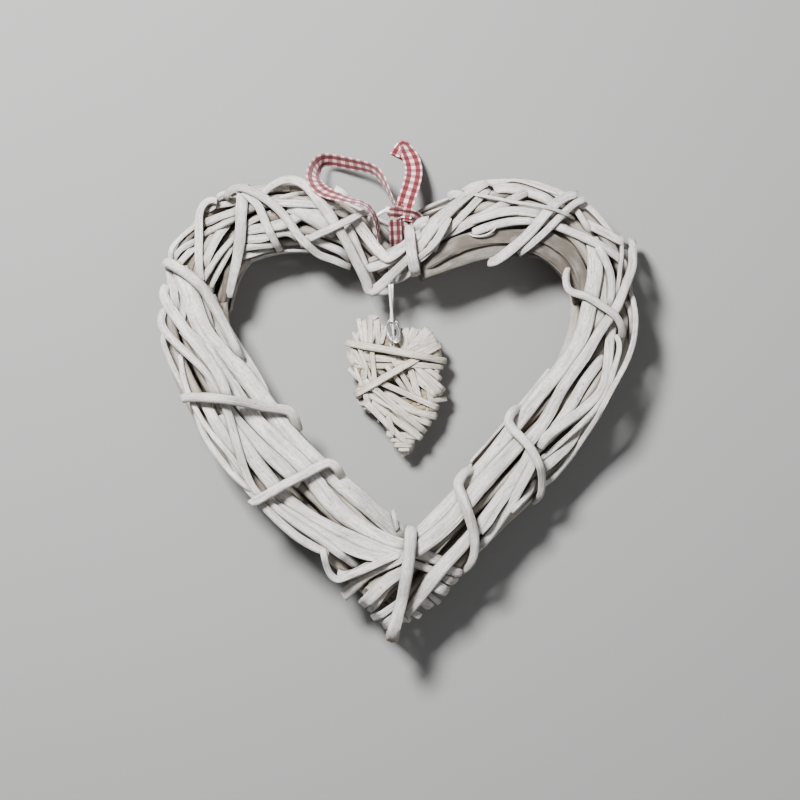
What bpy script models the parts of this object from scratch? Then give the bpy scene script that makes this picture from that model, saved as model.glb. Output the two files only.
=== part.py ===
"""Heart wreath of bent willow rods, lying on its back.

Two bundles of long rods, one for each half of the heart, cross in layers at the cleft and at the tip.
Flat strips and round bindings are wound round them. A small wound heart hangs from the cleft on a doubled
wire, and a ribbon is tied there. X runs to the right, Y to the top of the heart, Z is the thickness.
"""

import math

import bmesh
import bpy
import numpy as np
from mathutils import Vector

MM = 0.001

# ------------------------------------------------------------------ driving sizes, metres
GAP = 0.4 * MM                # left between pieces that touch
AXIS_HEIGHT = 22.0 * MM       # both arms' centrelines above the surface that the wreath lies on
TWIST = math.radians(150.0)   # turn of the long rods round their arm, from cleft to tip
LAYER = 6.6 * MM              # height of a layer of rods where the arms cross
UNDERSIDE = 6.6 * MM          # room under the bundles for what is wound round them
SIDES = 6                     # facets round a rod
STEPS = 10                    # places checked between two stations of a rod
NEARBY = 34.0 * MM            # what is further out along a ray than this belongs to another bundle

# The arms' centrelines in plan, from the cleft to the tip, with the wreath's middle at 0, 0.
LEFT_ARM = ((-9, 86), (-34, 109), (-66, 120), (-100, 114), (-123, 88), (-128, 55), (-116, 15),
            (-80, -34), (1, -115))
RIGHT_ARM = ((-9, 86), (22, 101), (50, 116), (84, 119), (114, 104), (130, 70), (125, 35),
             (92, -15), (1, -115))
# Half the bundle's width at fractions of the arm's length, and half its depth.
WIDTH_STATIONS = (0.0, 0.10, 0.35, 0.65, 0.90, 1.0)
LEFT_HALF_WIDTHS = (12.0, 18.0, 19.0, 22.5, 23.0, 22.0)
RIGHT_HALF_WIDTHS = (12.0, 17.5, 17.5, 19.5, 21.5, 22.0)
HALF_DEPTH = 15.5 * MM

# Long rods of one arm: radii round the outside of the bundle, and inside it.
OUTER_RADII = (4.9, 3.7, 4.4, 3.4, 4.8, 4.0, 3.6, 4.6, 3.9, 4.3)
INNER_RADII = (3.6, 3.2)
INNER_RING = 0.30             # how far out the inner rods lie, as a share of the bundle's half width
LONG_ROD_STATIONS = 16
CLEFT_TAPER = 0.66
TIP_TAPER = 0.74
CLEFT_CROSSING = 0.12         # fractions of an arm at which its rods are sorted into layers
TIP_CROSSING = 0.82
# Where each long rod starts near the cleft and ends past the tip, as fractions of the arm.
ROD_STARTS = (-0.035, 0.05, -0.02, 0.08, -0.04, -0.03, 0.06, -0.025, 0.09, -0.035, 0.04, 0.03)
ROD_ENDS = (1.055, 1.03, 1.06, 0.985, 1.045, 1.065, 1.0, 1.05, 1.035, 1.06, 0.97, 0.98)


def turn(degrees):
    return math.radians(degrees)


# ------------------------------------------------------------------ curves
def spline(points, count=400):
    """Natural cubic spline through points of any dimension, at count places along it."""
    points = np.array(points, float)
    steps = np.sqrt(np.linalg.norm(np.diff(points, axis=0), axis=1))
    knots = np.concatenate(([0.0], np.cumsum(steps)))
    size = len(points)
    matrix = np.eye(size)
    right = np.zeros_like(points)
    for i in range(1, size - 1):
        before = knots[i] - knots[i - 1]
        after = knots[i + 1] - knots[i]
        matrix[i, i - 1:i + 2] = before, 2 * (before + after), after
        slope_after = (points[i + 1] - points[i]) / after
        slope_before = (points[i] - points[i - 1]) / before
        right[i] = 6 * (slope_after - slope_before)
    bend = np.linalg.solve(matrix, right)
    places = np.linspace(0.0, knots[-1], count)
    seg = np.clip(np.searchsorted(knots, places, side="right") - 1, 0, size - 2)
    width = (knots[seg + 1] - knots[seg])[:, None]
    b = (places - knots[seg])[:, None] / width
    a = 1.0 - b
    curved = ((a ** 3 - a) * bend[seg] + (b ** 3 - b) * bend[seg + 1]) * width ** 2 / 6
    return a * points[seg] + b * points[seg + 1] + curved


def run_length(curve):
    steps = np.linalg.norm(np.diff(curve, axis=0), axis=1)
    return np.concatenate(([0.0], np.cumsum(steps)))


def pick(curve, run, places):
    """Points of a dense curve at given lengths along it."""
    return np.stack([np.interp(places, run, curve[:, i]) for i in range(curve.shape[1])], axis=1)


def evenly(curve, count):
    run = run_length(curve)
    return pick(curve, run, np.linspace(0.0, run[-1], count))


def unit(vectors):
    return vectors / np.maximum(np.linalg.norm(vectors, axis=-1, keepdims=True), 1e-12)


def directions(points):
    """Direction of a run of points at each of them."""
    steps = unit(np.diff(points, axis=0))
    ends = np.concatenate((steps[:1], steps, steps[-1:]))
    return unit(ends[:-1] + ends[1:])


def ease(value):
    value = np.clip(value, 0.0, 1.0)
    return value * value * (3.0 - 2.0 * value)


class Arm:
    """Centreline of one half of the heart; fraction 0 is the cleft and 1 the tip."""

    def __init__(self, points, side, half_widths):
        self.curve = spline(np.array(points) * MM)
        self.run = run_length(self.curve)
        self.length = self.run[-1]
        self.slopes = unit(np.gradient(self.curve, axis=0))
        self.side = side
        self.half_widths = np.array(half_widths) * MM

    def frame(self, fractions):
        """Centre, direction and outward direction, straight on past both ends of the arm."""
        fractions = np.asarray(fractions, float)
        inside = np.clip(fractions, 0.0, 1.0)
        places = inside * self.length
        along = unit(pick(self.slopes, self.run, places))
        centre = pick(self.curve, self.run, places)
        centre = centre + along * ((fractions - inside) * self.length)[:, None]
        flat = np.zeros(len(fractions))
        out = self.side * np.stack((along[:, 1], -along[:, 0], flat), axis=1)
        centre = np.column_stack((centre, flat + AXIS_HEIGHT))
        return centre, np.column_stack((along, flat)), out

    def half_width(self, fractions):
        return np.interp(fractions, WIDTH_STATIONS, self.half_widths)


# ------------------------------------------------------------------ strands
class Strand:
    """A rod or a strip: its stations, half sizes across and through, and its width direction."""

    def __init__(self, name, points, half_width, half_thick, across, tint="rod"):
        count = len(points)
        self.name = name
        self.points = points
        self.half_width = np.broadcast_to(half_width, count).astype(float)
        self.half_thick = np.broadcast_to(half_thick, count).astype(float)
        self.across = across
        self.tint = tint


def between(count, steps=STEPS):
    """For places checked between stations: the station before, the one after, and the share of it."""
    before = np.repeat(np.arange(count - 1), steps)
    share = np.tile(np.arange(steps) / steps, count - 1)
    before = np.append(before, count - 2)
    share = np.append(share, 1.0)
    return before, before + 1, share


def blend(values, before, after, share):
    if values.ndim > 1:
        share = share[:, None]
    return values[before] * (1 - share) + values[after] * share


class Pile:
    """What has been laid so far, as balls close enough together to stand for the strands."""

    def __init__(self):
        self.centres = np.zeros((0, 3))
        self.radii = np.zeros(0)

    def add(self, strand):
        parts = between(len(strand.points))
        points = blend(strand.points, *parts)
        thick = blend(strand.half_thick, *parts)
        spread = blend(strand.half_width, *parts) - thick
        across = unit(blend(strand.across, *parts))
        shifts = (0.0,) if spread.max() < 0.2 * MM else (-1.0, -0.34, 0.34, 1.0)
        for shift in shifts:
            self.centres = np.concatenate((self.centres, points + across * (spread * shift)[:, None]))
            self.radii = np.concatenate((self.radii, thick))

    def reach(self, bases, rays, ball, within):
        """How far out along each ray a ball of this radius has to be to touch nothing near its start."""
        low = bases.min(axis=0) - within
        high = bases.max(axis=0) + within
        near = ((self.centres > low) & (self.centres < high)).all(axis=1)
        offset = self.centres[near][None] - bases[:, None]
        along = (offset * rays[:, None]).sum(axis=2)
        aside = (offset ** 2).sum(axis=2) - along ** 2
        room = (self.radii[near][None] + ball[:, None] + GAP) ** 2 - aside
        hit = (room > 0) & (along < within)
        return np.where(hit, along + np.sqrt(np.maximum(room, 0)), -1.0).max(axis=1)


def settle(pile, bases, rays, half_width, half_thick, least=0.0, within=NEARBY, rounds=300):
    """Distances out along the rays at which a taut strand lies on the pile, and its width direction."""
    count = len(bases)
    parts = between(count)
    before, after, share = parts
    base = blend(bases, *parts)
    ray = unit(blend(rays, *parts))
    thick = blend(half_thick, *parts)
    spread = blend(half_width, *parts) - thick
    out = np.full(count, 0.02)
    for _ in range(2):
        across = unit(np.cross(directions(bases + rays * out[:, None]), rays))
        side = unit(blend(across, *parts))
        need = np.full(len(base), least)
        for shift in (-1.0, -0.4, 0.4, 1.0):
            shifted = base + side * (spread * shift)[:, None]
            need = np.maximum(need, pile.reach(shifted, ray, thick, within))
        out = np.zeros(count)
        np.maximum.at(out, before, need)
        np.maximum.at(out, after, need)
        weight = (1 - share) ** 2 + share ** 2
        for step in range(rounds + 40):
            points = bases + rays * out[:, None]
            if step < rounds:
                middle = (points[:-2] + points[2:]) / 2
                wanted = ((middle - bases[1:-1]) * rays[1:-1]).sum(axis=1)
                out[1:-1] += 0.5 * (wanted - out[1:-1])
                out[0] += 0.3 * (need[0] - out[0])
                out[-1] += 0.3 * (need[-1] - out[-1])
                points = bases + rays * out[:, None]
            reached = ((blend(points, *parts) - base) * ray).sum(axis=1)
            lack = np.maximum(need - reached, 0.0)
            lift = np.zeros(count)
            np.maximum.at(lift, before, lack * (1 - share) / weight)
            np.maximum.at(lift, after, lack * share / weight)
            out += lift
    return out, across


# ------------------------------------------------------------------ long rods
def lane_offsets(arm, fractions, phase, ring, radius):
    """Sideways and upward offsets of a rod that keeps its place in the twisting bundle."""
    angle = phase + TWIST * (fractions - 0.5)
    sideways = (arm.half_width(fractions) - radius) * ring * np.cos(angle)
    upward = (HALF_DEPTH - radius) * ring * np.sin(angle)
    return np.stack((sideways, upward), axis=1)


def layered(rods, arm, fraction, heights):
    """Offsets at a crossing: the arm's rods in three layers, each spread across the bundle."""
    offsets = {}
    placed = [(lane_offsets(arm, np.array([fraction]), r["phase"], r["ring"], r["radius"])[0], i)
              for i, r in enumerate(rods)]
    placed.sort(key=lambda item: item[0][1])
    third = math.ceil(len(placed) / 3)
    half = arm.half_width(np.array([1.0 if fraction > 0.5 else 0.0]))[0]
    for layer, height in enumerate(heights):
        members = placed[layer * third:(layer + 1) * third]
        members.sort(key=lambda item: item[0][0])
        for place, (_, index) in enumerate(members):
            spread = (place + 0.5) / len(members) * 2 - 1
            offsets[index] = np.array((spread * half * 0.9, height * LAYER))
    return offsets


def long_rods(side, arm, phase_shift, cleft_layers, tip_layers):
    rods = []
    radii = OUTER_RADII + INNER_RADII
    for i, radius in enumerate(radii):
        inner = i >= len(OUTER_RADII)
        number = i - len(OUTER_RADII) if inner else i
        around = len(INNER_RADII) if inner else len(OUTER_RADII)
        phase = 2 * math.pi * number / around + phase_shift + 0.12 * math.sin(5.1 * i)
        shuffled = (i * 5 + (2 if side == "right" else 0)) % len(radii)
        rods.append({
            "name": f"{side}_arm_rod_{i + 1:02d}",
            "arm": arm,
            "phase": phase,
            "ring": INNER_RING if inner else 1.0,
            "radius": radius * MM,
            "fractions": np.linspace(ROD_STARTS[shuffled], ROD_ENDS[shuffled], LONG_ROD_STATIONS),
        })
    at_cleft = layered(rods, arm, CLEFT_CROSSING, cleft_layers)
    at_tip = layered(rods, arm, TIP_CROSSING, tip_layers)
    for i, rod in enumerate(rods):
        fractions = rod["fractions"]
        lane = lane_offsets(arm, fractions, rod["phase"], rod["ring"], rod["radius"])
        to_cleft = 1 - ease((fractions - 0.02) / 0.12)[:, None]
        to_tip = ease((fractions - 0.78) / 0.14)[:, None]
        lane = lane * (1 - to_cleft) + at_cleft[i] * to_cleft
        rod["lane"] = lane * (1 - to_tip) + at_tip[i] * to_tip
        taper = np.interp(fractions, (0.0, 0.2, 0.75, 1.0), (CLEFT_TAPER, 1.0, 1.0, TIP_TAPER))
        rod["radii"] = rod["radius"] * taper
    return rods


def touching(points, radii, owner, margin):
    """Pairs of places on different rods that are closer than their radii and the margin."""
    firsts = []
    seconds = []
    for start in range(0, len(points), 400):
        block = slice(start, start + 400)
        gap = np.linalg.norm(points[block, None] - points[None], axis=2)
        close = gap < radii[block, None] + radii[None] + margin
        close &= owner[block, None] < owner[None]
        first, second = np.nonzero(close)
        firsts.append(first + start)
        seconds.append(second)
    return np.concatenate(firsts), np.concatenate(seconds)


PUSH = 1.6                    # share of an overlap that is cleared in one round
SMOOTHING = 0.25              # how far a station moves in a round towards the middle of its neighbours
RETURN = 0.04                 # and towards its own lane


def part_rods(rods, rounds=360):
    """Move the long rods within their stations until none cuts into another."""
    centre, _, out = (np.concatenate(rows) for rows in zip(*(r["arm"].frame(r["fractions"]) for r in rods)))
    offsets = np.concatenate([r["lane"] for r in rods])
    lanes = offsets.copy()
    radii = np.concatenate([r["radii"] for r in rods])
    fractions = np.concatenate([r["fractions"] for r in rods])
    clear_below = np.interp(fractions, (0.0, 0.14, 0.80, 0.94), (1 * MM, UNDERSIDE, UNDERSIDE, 1 * MM))
    count = LONG_ROD_STATIONS
    before, after, share = between(count)
    starts = np.arange(len(rods)) * count
    before = (before[None] + starts[:, None]).ravel()
    after = (after[None] + starts[:, None]).ravel()
    owner = np.repeat(np.arange(len(rods)), len(share))
    share = np.tile(share, len(rods))
    fine_radii = blend(radii, before, after, share)
    inner = np.ones(len(offsets), bool)
    inner[starts] = False
    inner[starts + count - 1] = False
    inner = np.nonzero(inner)[0]
    for step in range(rounds):
        calm = max(0.0, 1 - step / (0.7 * rounds))
        points = centre + out * offsets[:, :1]
        points[:, 2] += offsets[:, 1]
        fine = blend(points, before, after, share)
        if step % 20 == 0:
            first, second = touching(fine, fine_radii, owner, 5 * MM)
        apart = fine[first] - fine[second]
        distance = np.linalg.norm(apart, axis=1)
        lack = fine_radii[first] + fine_radii[second] + GAP + 0.1 * MM - distance
        hit = lack > 0
        push = apart[hit] / distance[hit, None] * lack[hit, None] / 2
        moved = np.zeros_like(points)
        total = np.zeros(len(points))
        for index, sign in ((first[hit], 1.0), (second[hit], -1.0)):
            for station, part in ((before[index], 1 - share[index]), (after[index], share[index])):
                weight = part * lack[hit]
                np.add.at(moved, station, sign * push * weight[:, None])
                np.add.at(total, station, weight)
        moved = PUSH * moved / np.maximum(total, 1e-9)[:, None]
        offsets[:, 0] += (moved * out).sum(axis=1)
        offsets[:, 1] += moved[:, 2]
        smooth = (offsets[inner - 1] + offsets[inner + 1]) / 2
        offsets[inner] += SMOOTHING * calm * (smooth - offsets[inner])
        offsets += RETURN * calm * (lanes - offsets)
        offsets[:, 1] = np.maximum(offsets[:, 1], radii + clear_below - AXIS_HEIGHT)
    points = centre + out * offsets[:, :1]
    points[:, 2] += offsets[:, 1]
    fine = blend(points, before, after, share)
    first, second = touching(fine, fine_radii, owner, GAP)
    room = np.linalg.norm(fine[first] - fine[second], axis=1) - GAP
    fit = np.minimum(1.0, room / (fine_radii[first] + fine_radii[second]))
    slim = np.ones(len(points))
    for index in (first, second):
        np.minimum.at(slim, before[index], fit)
        np.minimum.at(slim, after[index], fit)
    radii = radii * slim
    strands = []
    for i, rod in enumerate(rods):
        rows = slice(i * count, (i + 1) * count)
        strands.append(Strand(rod["name"], points[rows], radii[rows], radii[rows], out[rows]))
    return strands


# ------------------------------------------------------------------ windings and bindings
# Each winding is a name, its arm, its half width and half thickness in millimetres, and the places that
# it passes: degrees round the bundle (0 outer edge, 90 top, 180 inner edge, 270 underside) and the arm's
# fraction.
WINDINGS = (
    ("left_lobe_strip_1", "left", 3.0, 1.3, (
        (-45, 0.285), (0, 0.288), (45, 0.305), (90, 0.369), (150, 0.43))),
    ("left_lobe_strip_2", "left", 2.8, 1.3, (
        (-40, 0.235), (10, 0.24), (60, 0.25), (110, 0.285), (175, 0.345), (215, 0.39))),
    ("left_lobe_strip_3", "left", 2.8, 1.2, (
        (-20, 0.25), (30, 0.24), (90, 0.225), (150, 0.205), (190, 0.198))),
    ("left_lobe_strip_4", "left", 2.9, 1.2, (
        (-35, 0.27), (10, 0.258), (55, 0.235), (95, 0.185), (150, 0.125), (185, 0.085), (220, 0.06))),
    ("left_lobe_strip_5", "left", 3.4, 1.3, (
        (-30, 0.23), (0, 0.195), (18, 0.167), (50, 0.14), (78, 0.115), (100, 0.07), (140, 0.01))),
    ("left_lobe_strip_6", "left", 2.8, 1.3, (
        (-30, 0.06), (20, 0.078), (60, 0.095), (120, 0.135), (170, 0.165), (205, 0.18))),
    ("right_lobe_strip_1", "right", 3.6, 1.5, (
        (120, 0.0), (85, 0.04), (55, 0.1), (20, 0.17), (-25, 0.21))),
    ("right_lobe_strip_2", "right", 2.8, 1.3, (
        (-30, 0.315), (10, 0.305), (50, 0.28), (90, 0.235), (135, 0.19), (185, 0.145), (225, 0.125))),
    ("right_lobe_strip_3", "right", 2.6, 1.2, (
        (-30, 0.345), (10, 0.335), (50, 0.31), (90, 0.265), (135, 0.215), (180, 0.175))),
    ("right_arm_strip", "right", 3.2, 1.5, (
        (-30, 0.33), (5, 0.37), (50, 0.41), (85, 0.47), (110, 0.56), (130, 0.64), (170, 0.73),
        (200, 0.77))),
    ("left_binding_1", "left", 3.4, 3.4, (
        (6, 0.371), (60, 0.369), (115, 0.389), (150, 0.44), (182, 0.506), (225, 0.55), (285, 0.585))),
    ("left_binding_2", "left", 3.3, 3.3, (
        (4, 0.546), (60, 0.575), (120, 0.63), (180, 0.662), (230, 0.685), (300, 0.7))),
    ("left_binding_3", "left", 3.2, 3.2, (
        (4, 0.732), (60, 0.742), (120, 0.758), (180, 0.77), (235, 0.785), (300, 0.795))),
    ("right_binding_1", "right", 2.0, 2.0, (
        (225, 0.36), (185, 0.385), (140, 0.42), (95, 0.447), (62, 0.468), (30, 0.51), (-10, 0.54))),
    ("right_binding_2", "right", 3.0, 3.0, (
        (290, 0.655), (240, 0.665), (182, 0.682), (115, 0.698), (65, 0.711), (15, 0.742), (-50, 0.77))),
    ("right_binding_3", "right", 3.1, 3.1, (
        (290, 0.775), (240, 0.785), (185, 0.8), (140, 0.818), (95, 0.838), (55, 0.86), (15, 0.902),
        (-50, 0.94))),
)
STATION_PITCH = 9.5 * MM
ROUND_THE_BUNDLE = 18.0 * MM  # mean radius of a bundle, for lengths along a winding


def wind(pile, arms, name, side, half_width, half_thick, places):
    """A strand pulled taut round one arm's bundle, through the given places."""
    arm = arms[side]
    scale = np.array((ROUND_THE_BUNDLE, arm.length))
    route = np.array([(turn(angle), fraction) for angle, fraction in places]) * scale
    route = spline(route)
    count = int(run_length(route)[-1] / STATION_PITCH) + 3
    angles, fractions = (evenly(route, count) / scale).T
    centre, _, out = arm.frame(fractions)
    sideways = arm.half_width(fractions) * np.cos(angles)
    upward = HALF_DEPTH * np.sin(angles)
    rays = unit(out * sideways[:, None] + np.array((0, 0, 1.0)) * upward[:, None])
    return taut(pile, name, centre, rays, half_width * MM, half_thick * MM)


def taut(pile, name, bases, rays, half_width, half_thick, least=0.0, within=NEARBY, tint="rod"):
    """A strand pulled tight over the pile; its ends follow what is under them."""
    count = len(bases)
    half_width = np.full(count, half_width)
    half_thick = np.full(count, half_thick)
    out, across = settle(pile, bases, rays, half_width, half_thick, least, within)
    strand = Strand(name, bases + rays * out[:, None], half_width, half_thick, across, tint)
    pile.add(strand)
    return strand


# Strips laid over the bundles from above: name, half width and half thickness, and the route in plan with
# the least height at each place, all in millimetres.
LAID_STRIPS = (
    ("cleft_strip_1", 2.6, 1.2, (
        (-41, 119, 30), (-29, 98, 30), (-19.5, 74, 30), (-14, 72.5, 30), (-3, 84, 30), (10, 96, 30))),
    ("cleft_strip_2", 2.5, 1.2, (
        (-22, 112, 30), (-12, 93, 30), (-7, 82, 30), (1, 85, 30), (17, 96, 30), (34, 109, 26))),
    ("tip_bent_strip", 2.3, 1.1, (
        (-54, -72, 22), (-48, -91, 26), (-41.5, -107, 30), (-34, -106, 32), (-6, -95, 36), (8, -91, 36))),
)
BED = 14.0 * MM               # laid strands look for what is under them from this height up
LAY_PITCH = 6.0 * MM


def lay(pile, name, half_width, half_thick, places, pitch=LAY_PITCH, tint="rod"):
    """A strand laid from above along a route in plan, at least as high as its places say."""
    route = spline(np.array(places) * MM)
    route = evenly(route, int(run_length(route)[-1] / pitch) + 3)
    bases = route.copy()
    least = blend(route[:, 2], *between(len(route))) - BED
    bases[:, 2] = BED
    rays = np.tile((0, 0, 1.0), (len(route), 1))
    return taut(pile, name, bases, rays, half_width * MM, half_thick * MM, least, tint=tint)


# The binding at the tip: places from its inner end, folded over the inner edge, to its cut end past the
# tip, as a share of the way and the degrees up from level.
TIP_BINDING_START = (5.5, -84.0)
TIP_BINDING_END = (-3.5, -141.0)
TIP_BINDING_RADIUS = 3.4
TIP_BINDING_PLACES = ((0.0, -50), (0.0, -10), (0.0, 35), (0.06, 75), (0.2, 90), (1.0, 90))
TIP_BINDING_STATIONS = 16


def tip_binding(pile):
    start = np.array((*TIP_BINDING_START, 0.0)) * MM
    end = np.array((*TIP_BINDING_END, 0.0)) * MM
    inward = unit(start - end)
    length = np.linalg.norm(end - start)
    scale = np.array((length, 20 * MM))
    route = spline(np.array([(share, turn(angle)) for share, angle in TIP_BINDING_PLACES]) * scale)
    shares, angles = (evenly(route, TIP_BINDING_STATIONS) / scale).T
    bases = start + (end - start) * shares[:, None]
    bases[:, 2] = AXIS_HEIGHT
    rays = inward * np.cos(angles)[:, None] + np.array((0, 0, 1.0)) * np.sin(angles)[:, None]
    least = np.interp(shares, (0.0, 0.75, 1.0), (0.0, 0.0, 15 * MM))
    least = blend(least, *between(TIP_BINDING_STATIONS))
    radius = TIP_BINDING_RADIUS * MM
    return taut(pile, "tip_binding", bases, unit(rays), radius, radius, least)


# ------------------------------------------------------------------ small heart
SMALL_HEART_CENTRE = (-1.6, 13.0, 12.6)
SMALL_HEART_LEAN = 4.7        # degrees, its top towards the left
SMALL_FRAME = ((3.6, 27), (11, 36.5), (21.5, 31), (25, 16), (20.5, -2), (11, -21), (3.6, -37))
SMALL_NEARBY = 12.0 * MM      # as NEARBY, for the bands round the small heart
SMALL_FRAME_RADIUS = 3.0
SMALL_FRAME_DROP = 3.35       # of the back rods below the middle, and of the front rods above it
SMALL_FRAME_STATIONS = 13
# Bands round the small heart: from and to which side of its frame and how far round from its cleft to its
# tip, then the half width and half thickness.
SMALL_BANDS = (
    ("left", 0.13, "left", 0.56, 2.0, 0.7),
    ("right", 0.20, "right", 0.60, 2.0, 0.7),
    ("left", 0.70, "right", 0.78, 1.9, 0.7),
    ("left", 0.50, "right", 0.88, 1.8, 0.7),
    ("left", 0.60, "right", 0.36, 2.0, 0.8),
    ("left", 0.34, "right", 0.42, 2.2, 0.9),
)
# Once round a band, from the middle of the back: share of its span, and its outward turn from straight down.
BAND_ROUND = ((0.56, 0), (0.25, 0), (0.02, 0), (0.0, 30), (0.0, 65), (0.0, 115), (0.0, 150), (0.02, 180),
              (0.3, 180), (0.5, 180), (0.7, 180), (0.98, 180), (1.0, 210), (1.0, 245), (1.0, 295), (1.0, 330),
              (0.98, 360), (0.64, 360))


def small_heart_place(points):
    """From the small heart's own upright plan to where it lies."""
    lean = turn(SMALL_HEART_LEAN)
    points = np.array(points, float)
    x = points[..., 0] * math.cos(lean) - points[..., 1] * math.sin(lean)
    y = points[..., 0] * math.sin(lean) + points[..., 1] * math.cos(lean)
    z = points[..., 2] if points.shape[-1] > 2 else np.zeros(x.shape)
    return (np.stack((x, y, z), axis=-1) + SMALL_HEART_CENTRE) * MM


def small_frame(pile):
    strands = []
    for hand, sign in (("left", -1), ("right", 1)):
        for level, drop in (("back", -SMALL_FRAME_DROP), ("front", SMALL_FRAME_DROP)):
            plan = evenly(spline(SMALL_FRAME), SMALL_FRAME_STATIONS)
            points = np.column_stack((plan * (sign, 1), np.full(len(plan), drop)))
            points = small_heart_place(points)
            across = unit(np.cross(directions(points), (0, 0, 1.0)))
            radius = SMALL_FRAME_RADIUS * MM
            name = f"small_heart_frame_{level}_{hand}"
            strands.append(Strand(name, points, radius, radius, across, "frame"))
    for strand in strands:
        pile.add(strand)
    return strands


def frame_place(hand, share):
    """A place on the small heart's frame, between its front and back rods."""
    plan = spline(SMALL_FRAME)
    run = run_length(plan)
    place = pick(plan, run, np.array([share * run[-1]]))[0]
    return small_heart_place(place * (-1 if hand == "left" else 1, 1))


def small_band(pile, number, from_hand, from_share, to_hand, to_share, half_width, half_thick):
    """A flat band round the small heart, its ends meeting at the back."""
    start = frame_place(from_hand, from_share)
    end = frame_place(to_hand, to_share)
    shares, turns = np.array(BAND_ROUND, float).T
    turns = np.radians(turns)
    bases = start + (end - start) * shares[:, None]
    rays = -unit(end - start) * np.sin(turns)[:, None] - np.array((0, 0, 1.0)) * np.cos(turns)[:, None]
    name = f"small_heart_band_{number}"
    sizes = (half_width * MM, half_thick * MM)
    return taut(pile, name, bases, rays, *sizes, within=SMALL_NEARBY, tint="band")


# ------------------------------------------------------------------ wire and ribbon
WIRE_HALF_WIDTH = 1.5
WIRE_HALF_THICK = 0.8
WIRE_ROUTE = ((-4.9, 90, 12), (-4.8, 76, 12), (-4.4, 60, 12), (-4.2, 50, 12), (-4.0, 38, 12))

RIBBON_HALF_WIDTH = 5.5
RIBBON_HALF_THICK = 0.3
RIBBON_KNOT = (-1.6, 122.0, 28.0)
RIBBON_KNOT_SIZE = (4.6, 5.4, 3.8)
# Ribbon routes: place in millimetres, then the roll of its width, in degrees up from level.
LEFT_LOOP = ((-3.5, 129, 27.5, 80), (-9, 143, 23, 70), (-19, 153.5, 17, 66), (-33, 157.5, 12, 66),
             (-47, 160.5, 9.5, 70), (-56, 158, 14, 60), (-57, 148, 30, 34), (-46, 136, 45.5, 6),
             (-29, 128, 50, 2), (-17, 121, 49, 12), (-12, 111, 44, 60))
RIGHT_BAND = ((2.0, 127.5, 29.5, 10), (6.4, 136, 27, 4), (8, 147, 19, 0), (6, 158, 10, -6),
              (4, 166.5, 5.5, -10), (1.5, 168.2, 3.2, -10), (-0.5, 164, 2.2, -8), (-1.5, 158, 2.4, -8))
TIE_FREE_END = ((-1.5, 115.5, 27.5), (-1.2, 111.5, 27.0))
TIE_BASE = (-1.0, 88.0)
TIE_ANGLES = (25, -88)
TIE_STATIONS = 9
ROLL_SCALE = 0.3              # millimetres of route that one degree of roll counts as
STATIONS_PER_PLACE = 2.2


def ribbon_strand(name, places):
    places = np.array(places, float)
    scale = np.array((1, 1, 1, ROLL_SCALE))
    route = evenly(spline(places * scale), int(len(places) * STATIONS_PER_PLACE)) / scale
    points = route[:, :3] * MM
    level = unit(np.cross(directions(points), (0, 0, 1.0)))
    rise = unit(np.cross(level, directions(points)))
    roll = np.radians(route[:, 3:])
    across = level * np.cos(roll) + rise * np.sin(roll)
    return Strand(name, points, RIBBON_HALF_WIDTH * MM, RIBBON_HALF_THICK * MM, across, "ribbon")


def ribbon_tie(pile):
    """The ribbon's turn round the cleft, from under the knot down the notch and under the rods."""
    angles = np.radians(np.linspace(*TIE_ANGLES, TIE_STATIONS))
    bases = np.tile((*TIE_BASE, AXIS_HEIGHT / MM), (TIE_STATIONS, 1)) * MM
    rays = np.column_stack((np.zeros(TIE_STATIONS), np.cos(angles), np.sin(angles)))
    half_width = np.full(TIE_STATIONS, RIBBON_HALF_WIDTH * MM)
    half_thick = np.full(TIE_STATIONS, RIBBON_HALF_THICK * MM)
    out, _ = settle(pile, bases, rays, half_width, half_thick)
    points = np.concatenate((np.array(TIE_FREE_END) * MM, bases + rays * out[:, None]))
    across = np.tile((1.0, 0, 0), (len(points), 1))
    return Strand("ribbon_tie", points, half_width[0], half_thick[0], across, "ribbon")


# ------------------------------------------------------------------ meshes
RESTING = 1.3 * MM            # corners lower than this are flattened on to the surface under the wreath
SHARP_ANGLE = turn(50)
BAND_CORNER = (0.86, 0.78)    # a thin band's corners, as shares of its half width and half thickness
COLOURS = {
    "rod": ((0.80, 0.78, 0.74), 0.8, 0.0),
    "frame": ((0.70, 0.64, 0.52), 0.85, 0.0),
    "band": ((0.80, 0.78, 0.74), 0.8, 0.0),
    "wire": ((0.62, 0.63, 0.64), 0.35, 1.0),
    "ribbon": ((0.60, 0.10, 0.13), 0.9, 0.0),
}


def material(tint):
    found = bpy.data.materials.get(tint)
    if found:
        return found
    colour, roughness, metallic = COLOURS[tint]
    made = bpy.data.materials.new(tint)
    made.use_nodes = True
    shader = made.node_tree.nodes["Principled BSDF"]
    shader.inputs["Base Color"].default_value = (*colour, 1.0)
    shader.inputs["Roughness"].default_value = roughness
    shader.inputs["Metallic"].default_value = metallic
    made.diffuse_color = (*colour, 1.0)
    return made


def place_object(name, bm, tint, root, smooth=True):
    """Give a mesh its own object, with its origin at the middle of its corners."""
    bmesh.ops.recalc_face_normals(bm, faces=bm.faces)
    middle = sum((v.co for v in bm.verts), Vector()) / len(bm.verts)
    bmesh.ops.translate(bm, verts=bm.verts, vec=-middle)
    mesh = bpy.data.meshes.new(name)
    bm.to_mesh(mesh)
    bm.free()
    if smooth:
        mesh.shade_smooth()
        mesh.set_sharp_from_angle(angle=SHARP_ANGLE)
    mesh.materials.append(material(tint))
    thing = bpy.data.objects.new(name, mesh)
    thing.location = middle
    thing.parent = root
    bpy.context.collection.objects.link(thing)
    return thing


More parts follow.
